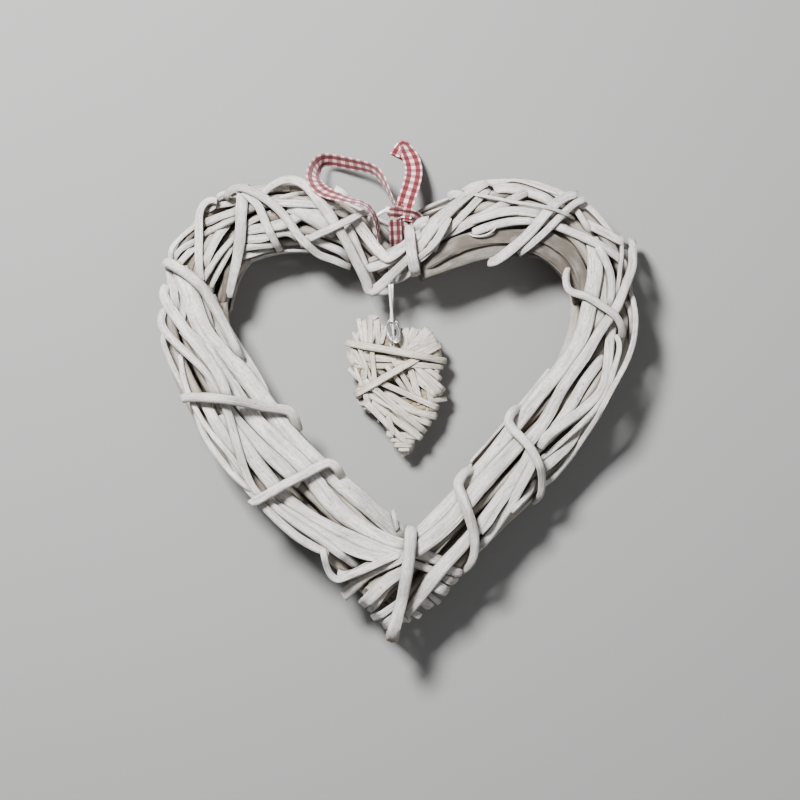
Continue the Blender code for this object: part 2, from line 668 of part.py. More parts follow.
def ring_corners(tint):
    """Corners round a strand: six for a rod, four for the thin ribbon or a thin band."""
    if tint in ("ribbon", "band"):
        wide, thick = BAND_CORNER if tint == "band" else (1.0, 1.0)
        return ((-wide, -thick), (wide, -thick), (wide, thick), (-wide, thick))
    step = 2 * math.pi / SIDES
    return tuple((math.cos(step * i), math.sin(step * i)) for i in range(SIDES))


def build_strand(strand, root):
    """Sweep the section along the stations and close both ends."""
    bm = bmesh.new()
    along = directions(strand.points)
    across = unit(strand.across - along * (strand.across * along).sum(axis=1)[:, None])
    through = np.cross(along, across)
    corners = ring_corners(strand.tint)
    rings = []
    for i, point in enumerate(strand.points):
        ring = []
        for wide, thick in corners:
            corner = point + across[i] * (wide * strand.half_width[i])
            corner = corner + through[i] * (thick * strand.half_thick[i])
            if corner[2] < RESTING and strand.tint != "ribbon":
                corner[2] = 0.0
            ring.append(bm.verts.new(corner))
        rings.append(ring)
    for first, second in zip(rings, rings[1:]):
        for i in range(len(corners)):
            j = (i + 1) % len(corners)
            bm.faces.new((first[i], first[j], second[j], second[i]))
    bm.faces.new(rings[0][::-1])
    bm.faces.new(rings[-1])
    return place_object(strand.name, bm, strand.tint, root, smooth=strand.tint != "ribbon")


def build_knot(root):
    bm = bmesh.new()
    bmesh.ops.create_uvsphere(bm, u_segments=10, v_segments=6, radius=1.0)
    bmesh.ops.scale(bm, verts=bm.verts, vec=np.array(RIBBON_KNOT_SIZE) * MM)
    bmesh.ops.translate(bm, verts=bm.verts, vec=np.array(RIBBON_KNOT) * MM)
    return place_object("ribbon_knot", bm, "ribbon", root)


def centre_in_plan(root, things):
    """Move everything together so that the middle of its plan is at 0, 0."""
    corners = []
    for thing in things:
        corners += [thing.location + v.co for v in thing.data.vertices]
    for axis in (0, 1):
        values = [corner[axis] for corner in corners]
        root.location[axis] = -(min(values) + max(values)) / 2


def clear_scene():
    for thing in list(bpy.data.objects):
        bpy.data.objects.remove(thing, do_unlink=True)


def main():
    clear_scene()
    root = bpy.data.objects.new("wreath", None)
    bpy.context.collection.objects.link(root)
    arms = {"left": Arm(LEFT_ARM, 1, LEFT_HALF_WIDTHS), "right": Arm(RIGHT_ARM, -1, RIGHT_HALF_WIDTHS)}
    rods = long_rods("left", arms["left"], 0.0, (-1.5, 0.5, 2.5), (-2.5, -0.5, 1.5))
    rods += long_rods("right", arms["right"], 0.2, (-2.5, -0.5, 1.5), (-1.5, 0.5, 2.5))
    strands = part_rods(rods)
    pile = Pile()
    for strand in strands:
        pile.add(strand)
    strands += small_frame(pile)
    strands += [small_band(pile, i + 1, *band) for i, band in enumerate(SMALL_BANDS)]
    strands.append(lay(pile, "hanging_wire", WIRE_HALF_WIDTH, WIRE_HALF_THICK, WIRE_ROUTE, 8 * MM, "wire"))
    strands += [wind(pile, arms, *winding) for winding in WINDINGS]
    strands += [lay(pile, *strip) for strip in LAID_STRIPS]
    strands.append(tip_binding(pile))
    strands.append(ribbon_tie(pile))
    strands.append(ribbon_strand("ribbon_left_loop", LEFT_LOOP))
    strands.append(ribbon_strand("ribbon_right_band", RIGHT_BAND))
    things = [build_strand(strand, root) for strand in strands]
    things.append(build_knot(root))
    centre_in_plan(root, things)


main()
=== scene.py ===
"""Looks of the heart wreath: painted willow rods, wound strips, the small wound heart, its wire and ribbon.

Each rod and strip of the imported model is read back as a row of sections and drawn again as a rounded, uneven
strand with cut ends. Thinner strands, stubs and splinters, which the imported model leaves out, are wound and
laid on top by the same rules. Tables give millimetres, in the wreath's own plan with its middle at 0, 0.
"""

import heapq
import math
from zlib import crc32

import bpy
import numpy as np
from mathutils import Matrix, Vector


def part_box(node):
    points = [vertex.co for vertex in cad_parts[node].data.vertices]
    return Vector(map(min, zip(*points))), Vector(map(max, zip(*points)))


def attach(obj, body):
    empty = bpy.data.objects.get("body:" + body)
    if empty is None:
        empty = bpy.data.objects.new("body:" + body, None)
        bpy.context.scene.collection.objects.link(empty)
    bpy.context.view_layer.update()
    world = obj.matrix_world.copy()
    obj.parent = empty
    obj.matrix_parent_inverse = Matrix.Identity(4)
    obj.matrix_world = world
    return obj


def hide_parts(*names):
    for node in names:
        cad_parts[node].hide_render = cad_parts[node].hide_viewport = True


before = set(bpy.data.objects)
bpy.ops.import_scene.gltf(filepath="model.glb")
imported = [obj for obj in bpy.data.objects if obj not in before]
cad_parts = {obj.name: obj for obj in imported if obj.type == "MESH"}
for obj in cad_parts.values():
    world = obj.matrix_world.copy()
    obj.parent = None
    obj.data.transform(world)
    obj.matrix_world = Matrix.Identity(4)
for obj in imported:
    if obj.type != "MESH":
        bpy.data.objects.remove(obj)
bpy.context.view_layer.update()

MM = 0.001
UP = np.array((0.0, 0.0, 1.0))

# ------------ the wreath's plan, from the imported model
KNOT = (-1.6, 122.0)  # the knot's middle in plan, which finds the plan's own middle in the frame
KNOT_BOX = np.array(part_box("ribbon_knot"))
PLAN_SHIFT = np.append(KNOT_BOX.mean(axis=0)[:2] - np.array(KNOT) * MM, 0.0)
AXIS_HEIGHT = 22.0 * MM  # the middle of the bundle, and how deep it is either side of that
HALF_DEPTH = 15.5 * MM
LEFT_ARM = ((-9, 86), (-34, 109), (-66, 120), (-100, 114), (-123, 88), (-128, 55), (-116, 15),
            (-80, -34), (1, -115))
RIGHT_ARM = ((-9, 86), (22, 101), (50, 116), (84, 119), (114, 104), (130, 70), (125, 35),
             (92, -15), (1, -115))
WIDTH_STATIONS = (0.0, 0.10, 0.35, 0.65, 0.90, 1.0)  # fractions of an arm at which its widths are given
LEFT_HALF_WIDTHS = (12.0, 18.0, 19.0, 22.5, 23.0, 22.0)
RIGHT_HALF_WIDTHS = (12.0, 17.5, 17.5, 19.5, 21.5, 22.0)
ROUND_THE_BUNDLE = 18.0 * MM  # a strand's travel for each radian that it goes round an arm
NEARBY = 34.0 * MM  # how far a strand looks for what it lies on, and how clear of that it stays
GAP = 0.1 * MM
SMALL_HEIGHT = 12.6 * MM  # the small heart's middle plane
SMALL_INSET = 3.3 * MM  # from the small heart's edge to the middle of its frame
SMALL_NEARBY = 13.0 * MM
SMALL_GIVE = 0.8 * MM  # how far its strips, and those of the fan, press into what they lie on
FAN_GIVE = 1.2 * MM
FAN_WIDTH = 2.15  # strips wider than this, cut at one end, are wedges that fan out over the lobe


def seeded(name):
    return np.random.default_rng(crc32(name.encode()))


# ------------ curves
def spline(points, count=400):
    """Natural cubic spline through points of any dimension, at count places along it."""
    points = np.array(points, float)
    steps = np.sqrt(np.linalg.norm(np.diff(points[:, :3], axis=0), axis=1))
    knots = np.concatenate(([0.0], np.cumsum(steps)))
    size = len(points)
    matrix = np.eye(size)
    right = np.zeros_like(points)
    for i in range(1, size - 1):
        before = knots[i] - knots[i - 1]
        after = knots[i + 1] - knots[i]
        matrix[i, i - 1:i + 2] = before, 2 * (before + after), after
        slope_after = (points[i + 1] - points[i]) / after
        slope_before = (points[i] - points[i - 1]) / before
        right[i] = 6 * (slope_after - slope_before)
    bend = np.linalg.solve(matrix, right)
    places = np.linspace(0.0, knots[-1], count)
    seg = np.clip(np.searchsorted(knots, places, side="right") - 1, 0, size - 2)
    width = (knots[seg + 1] - knots[seg])[:, None]
    b = (places - knots[seg])[:, None] / width
    a = 1.0 - b
    curved = ((a ** 3 - a) * bend[seg] + (b ** 3 - b) * bend[seg + 1]) * width ** 2 / 6
    return a * points[seg] + b * points[seg + 1] + curved


def run_length(curve):
    steps = np.linalg.norm(np.diff(curve[:, :3], axis=0), axis=1)
    return np.concatenate(([0.0], np.cumsum(steps)))


def pick(curve, run, places):
    """Points of a dense curve at given lengths along it."""
    return np.stack([np.interp(places, run, curve[:, i]) for i in range(curve.shape[1])], axis=1)


def evenly(curve, count):
    run = run_length(curve)
    return pick(curve, run, np.linspace(0.0, run[-1], count))


def unit(vectors):
    return vectors / np.maximum(np.linalg.norm(vectors, axis=-1, keepdims=True), 1e-12)


def directions(points):
    steps = unit(np.diff(points, axis=0))
    ends = np.concatenate((steps[:1], steps, steps[-1:]))
    return unit(ends[:-1] + ends[1:])


def wander(rng, length, wave, at):
    """Smooth random values from -1 to 1 along a length, with about this wavelength."""
    count = max(4, int(length / wave) + 3)
    knots = rng.uniform(-1, 1, count)
    place = np.asarray(at) / max(length, 1e-9) * (count - 2) + 0.5
    seg = np.clip(place.astype(int), 0, count - 2)
    share = np.clip(place - seg, 0, 1)
    share = share * share * (3 - 2 * share)
    return knots[seg] * (1 - share) + knots[seg + 1] * share


class Arm:
    """Centreline of one half of the heart; fraction 0 is the cleft and 1 the tip."""

    def __init__(self, points, side, half_widths):
        self.curve = spline(np.array(points) * MM)
        self.run = run_length(self.curve)
        self.length = self.run[-1]
        self.slopes = unit(np.gradient(self.curve, axis=0))
        self.side = side
        self.half_widths = np.array(half_widths) * MM

    def frame(self, fractions):
        """Centre and outward direction, straight on past both ends of the arm."""
        fractions = np.asarray(fractions, float)
        inside = np.clip(fractions, 0.0, 1.0)
        places = inside * self.length
        along = unit(pick(self.slopes, self.run, places))
        centre = pick(self.curve, self.run, places)
        centre = centre + along * ((fractions - inside) * self.length)[:, None]
        flat = np.zeros(len(fractions))
        out = self.side * np.stack((along[:, 1], -along[:, 0], flat), axis=1)
        return np.column_stack((centre, flat + AXIS_HEIGHT)) + PLAN_SHIFT, out

    def half_width(self, fractions):
        return np.interp(fractions, WIDTH_STATIONS, self.half_widths)


ARMS = {"left": Arm(LEFT_ARM, 1, LEFT_HALF_WIDTHS), "right": Arm(RIGHT_ARM, -1, RIGHT_HALF_WIDTHS)}


# ------------ strands
LEAST_HALF_SIZE = 0.2 * MM


class Strand:
    """A rod or a strip: its stations, half sizes across and through, and its width direction."""

    def __init__(self, name, points, half_width, half_thick, across):
        count = len(points)
        self.name = name
        self.points = points
        self.half_width = np.broadcast_to(half_width, count).astype(float)
        self.half_thick = np.broadcast_to(half_thick, count).astype(float)
        self.across = across
        self.shade = 0.0
        self.frayed = 0.0

    def shorter(self, stations):
        """The same strand without this many stations at each end."""
        kept = slice(stations, len(self.points) - stations)
        parts = (self.points, self.half_width, self.half_thick, self.across)
        return Strand(self.name, *(part[kept] for part in parts))

    def slim(self, share):
        self.half_width = self.half_width * share
        self.half_thick = self.half_thick * share

    def finer(self, pitch):
        """The same strand on a smooth curve, with stations this far apart."""
        table = np.column_stack((self.points, self.half_width, self.half_thick, self.across))
        dense = spline(table, max(60, 12 * len(table)))
        dense = evenly(dense, max(5, int(run_length(dense)[-1] / pitch) + 1))
        sizes = np.maximum(dense[:, 3:5], LEAST_HALF_SIZE)
        finer = Strand(self.name, dense[:, :3], sizes[:, 0], sizes[:, 1], unit(dense[:, 5:8]))
        finer.shade = self.shade
        finer.frayed = self.frayed
        return finer


SAME_PLACE = 0.02 * MM  # corners nearer than this are one
FLAT = 1.15  # a section is flat if it is this many times as wide as it is thick
HEXAGON_THICK = math.sin(math.pi / 3)
BAND_WIDE = 0.86  # half sizes of a four-cornered section, as shares of those of its strand
BAND_THICK = 0.78


def cad_rings(node, corners):
    """The rings of corners along a packed strand, from one end to the other."""
    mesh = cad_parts[node].data
    places = np.array([v.co for v in mesh.vertices])
    keys = {}
    owner = [keys.setdefault(tuple(np.round(p / SAME_PLACE).astype(int)), len(keys)) for p in places]
    count = len(keys)
    points = np.zeros((count, 3))
    points[owner] = places
    near = [set() for _ in range(count)]
    for edge in mesh.edges:
        first, second = owner[edge.vertices[0]], owner[edge.vertices[1]]
        if first != second:
            near[first].add(second)
            near[second].add(first)

    def reach(start):
        far = np.full(count, np.inf)
        far[start] = 0.0
        queue = [(0.0, start)]
        while queue:
            here, place = heapq.heappop(queue)
            if here > far[place]:
                continue
            for other in near[place]:
                there = here + np.linalg.norm(points[place] - points[other])
                if there < far[other]:
                    far[other] = there
                    heapq.heappush(queue, (there, other))
        return far

    def rings_from(ring):
        rings = []
        seen = set()
        while ring:
            rings.append(points[ring])
            seen.update(ring)
            ring = sorted(set().union(*(near[i] for i in ring)) - seen)
        return rings

    end = int(reach(0).argmax())
    nearest = np.argsort(reach(end), kind="stable")
    two = nearest[:2 * corners]
    apart = points[two] - points[two].mean(axis=0)
    axis = np.linalg.svd(apart)[2][0]
    axis = axis * (1 if apart[0] @ axis > 0 else -1)
    for first in (nearest[:corners], two[np.argsort(-(apart @ axis), kind="stable")[:corners]]):
        rings = rings_from([int(i) for i in first])
        if {len(r) for r in rings} == {corners}:
            return np.array(rings)
    raise ValueError(f"{node} isn't a row of rings")


def read_strand(node, corners=6):
    """A packed strand as stations, sizes and width directions."""
    rings = cad_rings(node, corners)
    centres = rings.mean(axis=1)
    along = directions(centres)
    offsets = rings - centres[:, None]
    across = np.zeros_like(centres)
    widths = np.zeros(len(rings))
    thicks = np.zeros(len(rings))
    last = unit(offsets[0, 0])
    for i, offset in enumerate(offsets):
        _, sizes, axes = np.linalg.svd(offset)
        flat = sizes[0] > FLAT * sizes[1]
        if flat:
            now = axes[0] * (1 if axes[0] @ last > 0 else -1)
        else:
            now = unit(last - along[i] * (last @ along[i]))
        across[i] = last = now
        through = np.cross(along[i], now)
        widths[i] = np.abs(offset @ now).max()
        thicks[i] = np.abs(offset @ through).max()
        if not flat:
            widths[i] = thicks[i] = np.linalg.norm(offset, axis=1).max()
        elif corners == 6:
            thicks[i] /= HEXAGON_THICK
        else:
            widths[i] /= BAND_WIDE
            thicks[i] /= BAND_THICK
    return Strand(node, centres, widths, thicks, across)


# ------------ laying one strand on others
BALL_PITCH = 2.2 * MM
ROUND_ENOUGH = 0.2 * MM  # a strand no flatter than this is one row of balls, and any other is four
BALL_ROWS = (-1.0, -0.34, 0.34, 1.0)


class Pile:
    """What has been laid so far, as balls close enough together to stand for the strands."""

    def __init__(self):
        self.centres = np.zeros((0, 3))
        self.radii = np.zeros(0)

    def add(self, strand):
        fine = strand.finer(BALL_PITCH)
        spread = fine.half_width - fine.half_thick
        for shift in (0.0,) if spread.max() < ROUND_ENOUGH else BALL_ROWS:
            places = fine.points + fine.across * (spread * shift)[:, None]
            self.centres = np.concatenate((self.centres, places))
            self.radii = np.concatenate((self.radii, fine.half_thick))

    def reach(self, bases, rays, ball, within):
        """How far out along each ray a ball of this radius has to be to touch nothing near its start."""
        low = bases.min(axis=0) - within
        high = bases.max(axis=0) + within
        near = ((self.centres > low) & (self.centres < high)).all(axis=1)
        if not near.any():
            return np.full(len(bases), -1.0)
        offset = self.centres[near][None] - bases[:, None]
        along = (offset * rays[:, None]).sum(axis=2)
        aside = (offset ** 2).sum(axis=2) - along ** 2
        room = (self.radii[near][None] + ball[:, None] + GAP) ** 2 - aside
        hit = (room > 0) & (along < within)
        return np.where(hit, along + np.sqrt(np.maximum(room, 0)), -1.0).max(axis=1)


LAY_PITCH = 3.0 * MM
FINE_PITCH = 1.6 * MM
FIRST_GUESS = 20.0 * MM
PULLS = 200  # rounds of pulling a strand straighter between the places that hold it up
STIFFNESS = 0.5
EDGES = (-1.0, -0.4, 0.4, 1.0)  # where across its width a strand feels for what is under it
FLOOR_GAP = 0.2 * MM


def taut(pile, name, bases, rays, half_width, half_thick, least=0.0, within=NEARBY, give=0.0):
    """A strand pulled tight over the pile, no further out along the rays than it needs, above the floor."""
    count = len(bases)
    widths, thicks, least = (np.broadcast_to(value, count) for value in (half_width, half_thick, least))
    out = np.full(count, FIRST_GUESS)
    for _ in range(2):
        across = unit(np.cross(directions(bases + rays * out[:, None]), rays))
        need = least
        for shift in EDGES:
            shifted = bases + across * ((widths - thicks) * shift)[:, None]
            need = np.maximum(need, pile.reach(shifted, rays, thicks, within) - give)
        out = need.copy()
        for _ in range(PULLS):
            points = bases + rays * out[:, None]
            middle = (points[:-2] + points[2:]) / 2
            wanted = ((middle - bases[1:-1]) * rays[1:-1]).sum(axis=1)
            out[1:-1] += STIFFNESS * (wanted - out[1:-1])
            out = np.maximum(out, need)
    points = bases + rays * out[:, None]
    points[:, 2] = np.maximum(points[:, 2], thicks + FLOOR_GAP)
    strand = Strand(name, points, widths, thicks, across)
    pile.add(strand)
    return strand


def course(places, pitch=LAY_PITCH):
    """A smooth route through places, with stations about this far apart."""
    route = spline(places)
    return evenly(route, int(run_length(route)[-1] / pitch) + 3)


def let_down(pile, name, route, bed, half_width, half_thick, within=NEARBY, give=0.0):
    """A strand let down from above along a route in plan, no lower than the route's own heights."""
    bases = route + PLAN_SHIFT
    bases[:, 2] = bed
    rays = np.tile(UP, (len(route), 1))
    return taut(pile, name, bases, rays, half_width, half_thick, route[:, 2] - bed, within, give)


def wind(pile, name, side, half_width, half_thick, places):
    """A strand wound round one arm's bundle through places: degrees round it, and the arm's fraction."""
    arm = ARMS[side]
    scale = np.array((ROUND_THE_BUNDLE, arm.length))
    route = course(np.array([(math.radians(angle), fraction) for angle, fraction in places]) * scale)
    angles, fractions = (route / scale).T
    centre, out = arm.frame(fractions)
    sideways = arm.half_width(fractions) * np.cos(angles)
    upward = HALF_DEPTH * np.sin(angles)
    rays = unit(out * sideways[:, None] + UP * upward[:, None])
    return taut(pile, name, centre, rays, half_width * MM * taper_ends(len(route)), half_thick * MM)


def tuck(strand, depths, reach):
    """Lower a strand's two ends into what lies under them, over this length."""
    run = run_length(strand.points)
    for depth, far in zip(depths, (run, run[-1] - run)):
        strand.points[:, 2] -= depth * np.clip(1 - far / reach, 0, 1) ** 1.6
    strand.points[:, 2] = np.maximum(strand.points[:, 2], strand.half_thick)
    return strand


def taper_ends(count):
    """Strips are a little narrower towards their ends."""
    place = np.linspace(0, 1, count)
    return 0.92 + 0.08 * np.clip(6 * np.minimum(place, 1 - place), 0, 1)


BED = 14.0 * MM  # the height from which a laid strand looks up, and its own least height
LOWEST_LAID = 18.0
WRAP_BED = 6.0 * MM
WRAP_REACH = 48.0 * MM
TUCKED = 10.0  # an end of a winding lower than this goes in among the strands under it
TUCK_REACH = 9.0 * MM
SPLIT_THICK = (0.85, 0.24)  # half thickness of a split rod: this, and this much of its half width
LAID_GIVE = 0.7 * MM  # how far a laid strand presses into what is under it


def with_heights(plan):
    """Points in plan with the least height of each, in metres."""
    return np.array([(*place, LOWEST_LAID)[:3] for place in plan], float) * MM


def over(pile, name, half_width, plan):
    """A strand laid from above along points in plan, as flat as a split rod of its width."""
    half_thick = min(half_width, SPLIT_THICK[0] + SPLIT_THICK[1] * half_width)
    route = course(with_heights(plan))
    widths = half_width * MM * taper_ends(len(route))
    return let_down(pile, name, route, BED, widths, half_thick * MM, give=LAID_GIVE)


def across_bundle(pile, name, half_width, half_thick, plan):
    """A strand laid over a bundle from side to side, its ends down the flanks to the heights given."""
    route = course(with_heights(plan), FINE_PITCH)
    widths = np.interp(np.linspace(0, 1, len(route)), (0, 0.5, 1), half_width) * MM
    thicks = np.minimum(half_thick * MM, widths)
    strand = let_down(pile, name, route, WRAP_BED, widths, thicks, WRAP_REACH)
    depths = [2.4 * thicks.max() * (len(end) > 2 and end[2] < TUCKED) for end in (plan[0], plan[-1])]
    return tuck(strand, depths, TUCK_REACH)


# How far to the left and how high in plan the course of a packed band may go on the drawn small heart.
BAND_LIMITS = {"small_heart_band_3": (-18, 60), "small_heart_band_2": (-40, 46)}
NO_LIMIT = (-40, 60)
EDGE_STATIONS = 6  # stations of a strip's turn under the small heart's edge
EDGE_TURN = (110, 15)  # degrees from upright at that turn's first and last station
FAN_TAPER = (1.35, 0.55)


def rewound_band(pile, strand):
    """A packed band wound again over what now lies on the small heart, along its own course."""
    fine = strand.finer(FINE_PITCH)
    plan = fine.points[:, :2]
    far = plan[np.linalg.norm(plan - plan[0], axis=1).argmax()]
    start = plan[np.linalg.norm(plan - far, axis=1).argmax()]
    way = unit(far - start)
    place = np.clip((plan - start) @ way, SMALL_INSET, np.linalg.norm(far - start) - SMALL_INSET)
    bases = np.column_stack((start + place[:, None] * way, np.full(len(plan), SMALL_HEIGHT)))
    leftmost, topmost = BAND_LIMITS.get(strand.name, NO_LIMIT)
    bases[:, 0] = np.maximum(bases[:, 0], PLAN_SHIFT[0] + leftmost * MM)
    bases[:, 1] = np.minimum(bases[:, 1], PLAN_SHIFT[1] + topmost * MM)
    rays = unit(fine.points - bases)
    return taut(pile, strand.name, bases, rays, fine.half_width, fine.half_thick, within=SMALL_NEARBY)


def heart_strip(pile, name, half_width, start, end, cut="", facing=1.0, half_thick=0.7):
    """A thin strip drawn straight across the small heart, turned under its edge except where it is cut."""
    start, end = (np.array((*place, 0)) * MM + PLAN_SHIFT + UP * SMALL_HEIGHT for place in (start, end))
    way = unit(end - start)
    start = start + way * (0 if "a" in cut else SMALL_INSET)
    end = end - way * (0 if "b" in cut else SMALL_INSET)
    shares = np.linspace(0, 1, max(4, int(np.linalg.norm(end - start) / FINE_PITCH)))
    turns = np.zeros(len(shares))
    round_the_edge = np.radians(np.linspace(*EDGE_TURN, EDGE_STATIONS))
    if "a" not in cut:
        shares = np.concatenate((np.zeros(EDGE_STATIONS), shares))
        turns = np.concatenate((-round_the_edge, turns))
    if "b" not in cut:
        shares = np.concatenate((shares, np.ones(EDGE_STATIONS)))
        turns = np.concatenate((turns, round_the_edge[::-1]))
    bases = start + shares[:, None] * (end - start)
    rays = way * np.sin(turns)[:, None] + UP * (facing * np.cos(turns))[:, None]
    widths = half_width * MM * taper_ends(len(bases))
    fan = cut == "b" and half_width > FAN_WIDTH
    if fan:
        widths = widths * np.linspace(*FAN_TAPER, len(bases))
    give = FAN_GIVE if fan else SMALL_GIVE
    return taut(pile, name, bases, rays, widths, half_thick * MM, within=SMALL_NEARBY, give=give)


# ------------ surfaces
def linked(name, data):
    thing = bpy.data.objects.new(name, data)
    bpy.context.scene.collection.objects.link(thing)
    return thing


class Surface:
    """Corners and faces of the strands that make one piece, and the values at its corners that looks read."""

    def __init__(self):
        self.corners = []
        self.faces = []
        self.values = {}

    def add(self, corners, faces, **values):
        total = sum(len(part) for part in self.corners)
        self.faces += [tuple(i + total for i in face) for face in faces]
        self.corners.append(corners)
        for key, value in values.items():
            self.values.setdefault(key, []).append(value)

    def piece(self, name, finish, nodes, crease=55):
        material, slot = finish
        mesh = bpy.data.meshes.new(name)
        mesh.from_pydata(np.concatenate(self.corners).tolist(), [], self.faces)
        for key, parts in self.values.items():
            kind, field = ("FLOAT_VECTOR", "vector") if parts[0].ndim == 2 else ("FLOAT", "value")
            mesh.attributes.new(key, kind, "POINT")
            mesh.attributes[key].data.foreach_set(field, np.concatenate(parts).ravel())
        mesh.shade_smooth()
        mesh.set_sharp_from_angle(angle=math.radians(crease))
        mesh.materials.append(material)
        thing = linked(name, mesh)
        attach(thing, "root")
        if nodes:
            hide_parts(*nodes)
        return thing


# Corners round a strand, their pitch along it, how square its section is, how far it sways, how deep its long
# ridges and its lumps are, and how far apart its knots are.
LOOK_KEYS = ("around", "pitch", "square", "wobble", "ridges", "lumps", "knots")
UNDER_LOOK, ROD_LOOK, STRIP_LOOK, LAID_LOOK, COIL_LOOK, WIRE_LOOK = (dict(zip(LOOK_KEYS, row)) for row in (
    (14, 2.6, 2.1, 0.35, 0.05, 0.03, 75.0),
    (24, 1.4, 2.5, 0.5, 0.08, 0.06, 34.0),
    (20, 1.5, 4.0, 0.3, 0.12, 0.06, 60.0),
    (24, 1.6, 3.6, 0.45, 0.13, 0.06, 48.0),
    (12, 1.2, 3.4, 0.12, 0.07, 0.04, 0.0),
    (8, 0.9, 2.0, 0.0, 0.0, 0.02, 0.0)))

# Bumps on a strand: how many go round it, the length in mm over which they change, and which depth they take.
BUMPS = ((2, 14, "lumps"), (3, 11, "lumps"), (5, 6, "lumps"), (4, 60, "ridges"), (7, 50, "ridges"))
LAST_RIDGES = 26
KNOT_LENGTH = 1.8
KNOT_HEIGHT = 0.11
RIM = 0.95  # size of a cut end's rim, as a share of the strand's
FLAT_ENOUGH = 1.25  # a strand this many times as wide as thick may have one edge thinner
WEDGE = 0.16  # and by this much
TORN_ROUGH = 0.09
SLANT = 0.6  # the steepest cut end


def squarish(values, power):
    return np.sign(values) * np.abs(values) ** power


def square_axes(strand):
    """Directions along a strand, across its width and through its thickness, square to each other."""
    along = directions(strand.points)
    across = unit(strand.across - along * (strand.across * along).sum(axis=1)[:, None])
    return along, across, np.cross(along, across)


def grow(surface, strand, look):
    """Add one uneven strand, with its two cut ends, to a piece's surface."""
    rng = seeded(strand.name)
    fine = strand.finer(look["pitch"] * MM)
    count = len(fine.points)
    run = run_length(fine.points)
    length = run[-1]
    along, across, through = square_axes(fine)

    def drift(wave):
        return wander(rng, length, wave * MM, run)[:, None]

    sway = look["wobble"] * MM
    centre = fine.points + across * sway * drift(30)
    centre = centre + through * 0.6 * sway * drift(24)
    half_width, half_thick = fine.half_width[:, None], fine.half_thick[:, None]
    swell = 1 + 0.05 * drift(26)
    flat = 1 + 0.05 * drift(40)
    around = look["around"]
    angle = np.arange(around) * (2 * math.pi / around)
    wide = squarish(np.cos(angle), 2.0 / look["square"])
    thick = squarish(np.sin(angle), 2.0 / look["square"])
    bumps = np.zeros((count, around))
    for lobes, wave, depth in (*BUMPS, (around // 2 - 1, LAST_RIDGES, "ridges")):
        strength = look[depth] * (0.35 + 0.65 * drift(wave))
        phase = rng.uniform(0, 2 * math.pi) + 0.5 * drift(45)
        bumps += strength * np.cos(lobes * angle + phase) / math.sqrt(lobes / 2)
    if look["knots"]:
        first, apart = (look["knots"] * rng.uniform(*span) for span in ((0.2, 0.8), (0.7, 1.3)))
        for at in np.arange(first, length / MM, apart):
            facing = rng.uniform(0, 2 * math.pi)
            near = np.exp(-((run - at * MM) / (KNOT_LENGTH * MM)) ** 2)[:, None]
            bumps += KNOT_HEIGHT * near * np.maximum(0.15, np.cos(angle - facing)) ** 2
    wedge = WEDGE * drift(50)
    torn = np.zeros(count)
    if fine.frayed:
        torn = np.clip(1 - (length - run) / fine.frayed, 0, 1)
        bumps += torn[:, None] * rng.normal(0, TORN_ROUGH, (count, around))
    sideways = half_width * flat * wide * (swell + bumps)
    leaning = 1 + wedge * wide * (half_width > FLAT_ENOUGH * half_thick)
    upward = half_thick / flat * thick * (swell + bumps) * leaning
    rings = centre[:, None] + across[:, None] * sideways[..., None] + through[:, None] * upward[..., None]
    lengthwise = np.repeat(run[:, None], around, axis=1)
    for end in (0, -1):
        slope = rng.uniform(-SLANT, SLANT, 2)
        shift = slope[0] * sideways[end] + slope[1] * upward[end]
        rings[end] += along[end] * shift[:, None]
        lengthwise[end] += shift
    seed = rng.uniform(0, 50)
    # a random tone, raised past 1 by the strand's painted shade
    tone = rng.uniform(0, 1) + strand.shade
    girth = (half_width + half_thick) * (angle - math.pi)
    corners = rings.reshape(-1, 3)
    grain = np.stack((lengthwise, girth, np.full_like(girth, seed)), axis=2).reshape(-1, 3)
    here = np.arange(around)
    beside = (here + 1) % around
    rows = np.arange(count - 1)[:, None] * around
    low, nxt = rows + here, rows + beside
    faces = np.stack((low, nxt, nxt + around, low + around), axis=2).reshape(-1, 4).tolist()
    cut = 1.6 * np.repeat(torn, around)
    for end, sign in ((0, -1.0), (count - 1, 1.0)):
        edge = rings[end]
        middle = edge.mean(axis=0)
        step = along[end] * sign * min(0.15 * MM, 0.2 * half_thick[end, 0])
        rim = middle + (edge - middle) * RIM + step
        rough = rng.normal(0, 0.06, around)[:, None] * half_thick[end] * along[end]
        ring = here + end * around
        outer = here + len(corners)
        inner = outer + around
        corners = np.concatenate((corners, rim, rim + rough * 0.2, [middle + 0.6 * step]))
        flat_grain = np.column_stack((rim[:, :2] - middle[:2], np.full(around, seed)))
        grain = np.concatenate((grain, grain[ring], flat_grain, [[0.0, 0.0, seed]]))
        cut = np.concatenate((cut, np.full(around, 0.25), np.ones(around + 1)))
        for i, j in zip(here, beside):
            for face in ((ring[i], outer[i], outer[j], ring[j]), (outer[i], inner[i], inner[j], outer[j]),
                         (inner[i], inner[-1] + 1, inner[j])):
                faces.append(face[::-1] if sign > 0 else face)
    corners[:, 2] = np.maximum(corners[:, 2], 0.0)
    surface.add(corners, faces, grain=grain, cut=cut, tone=np.full(len(corners), tone))


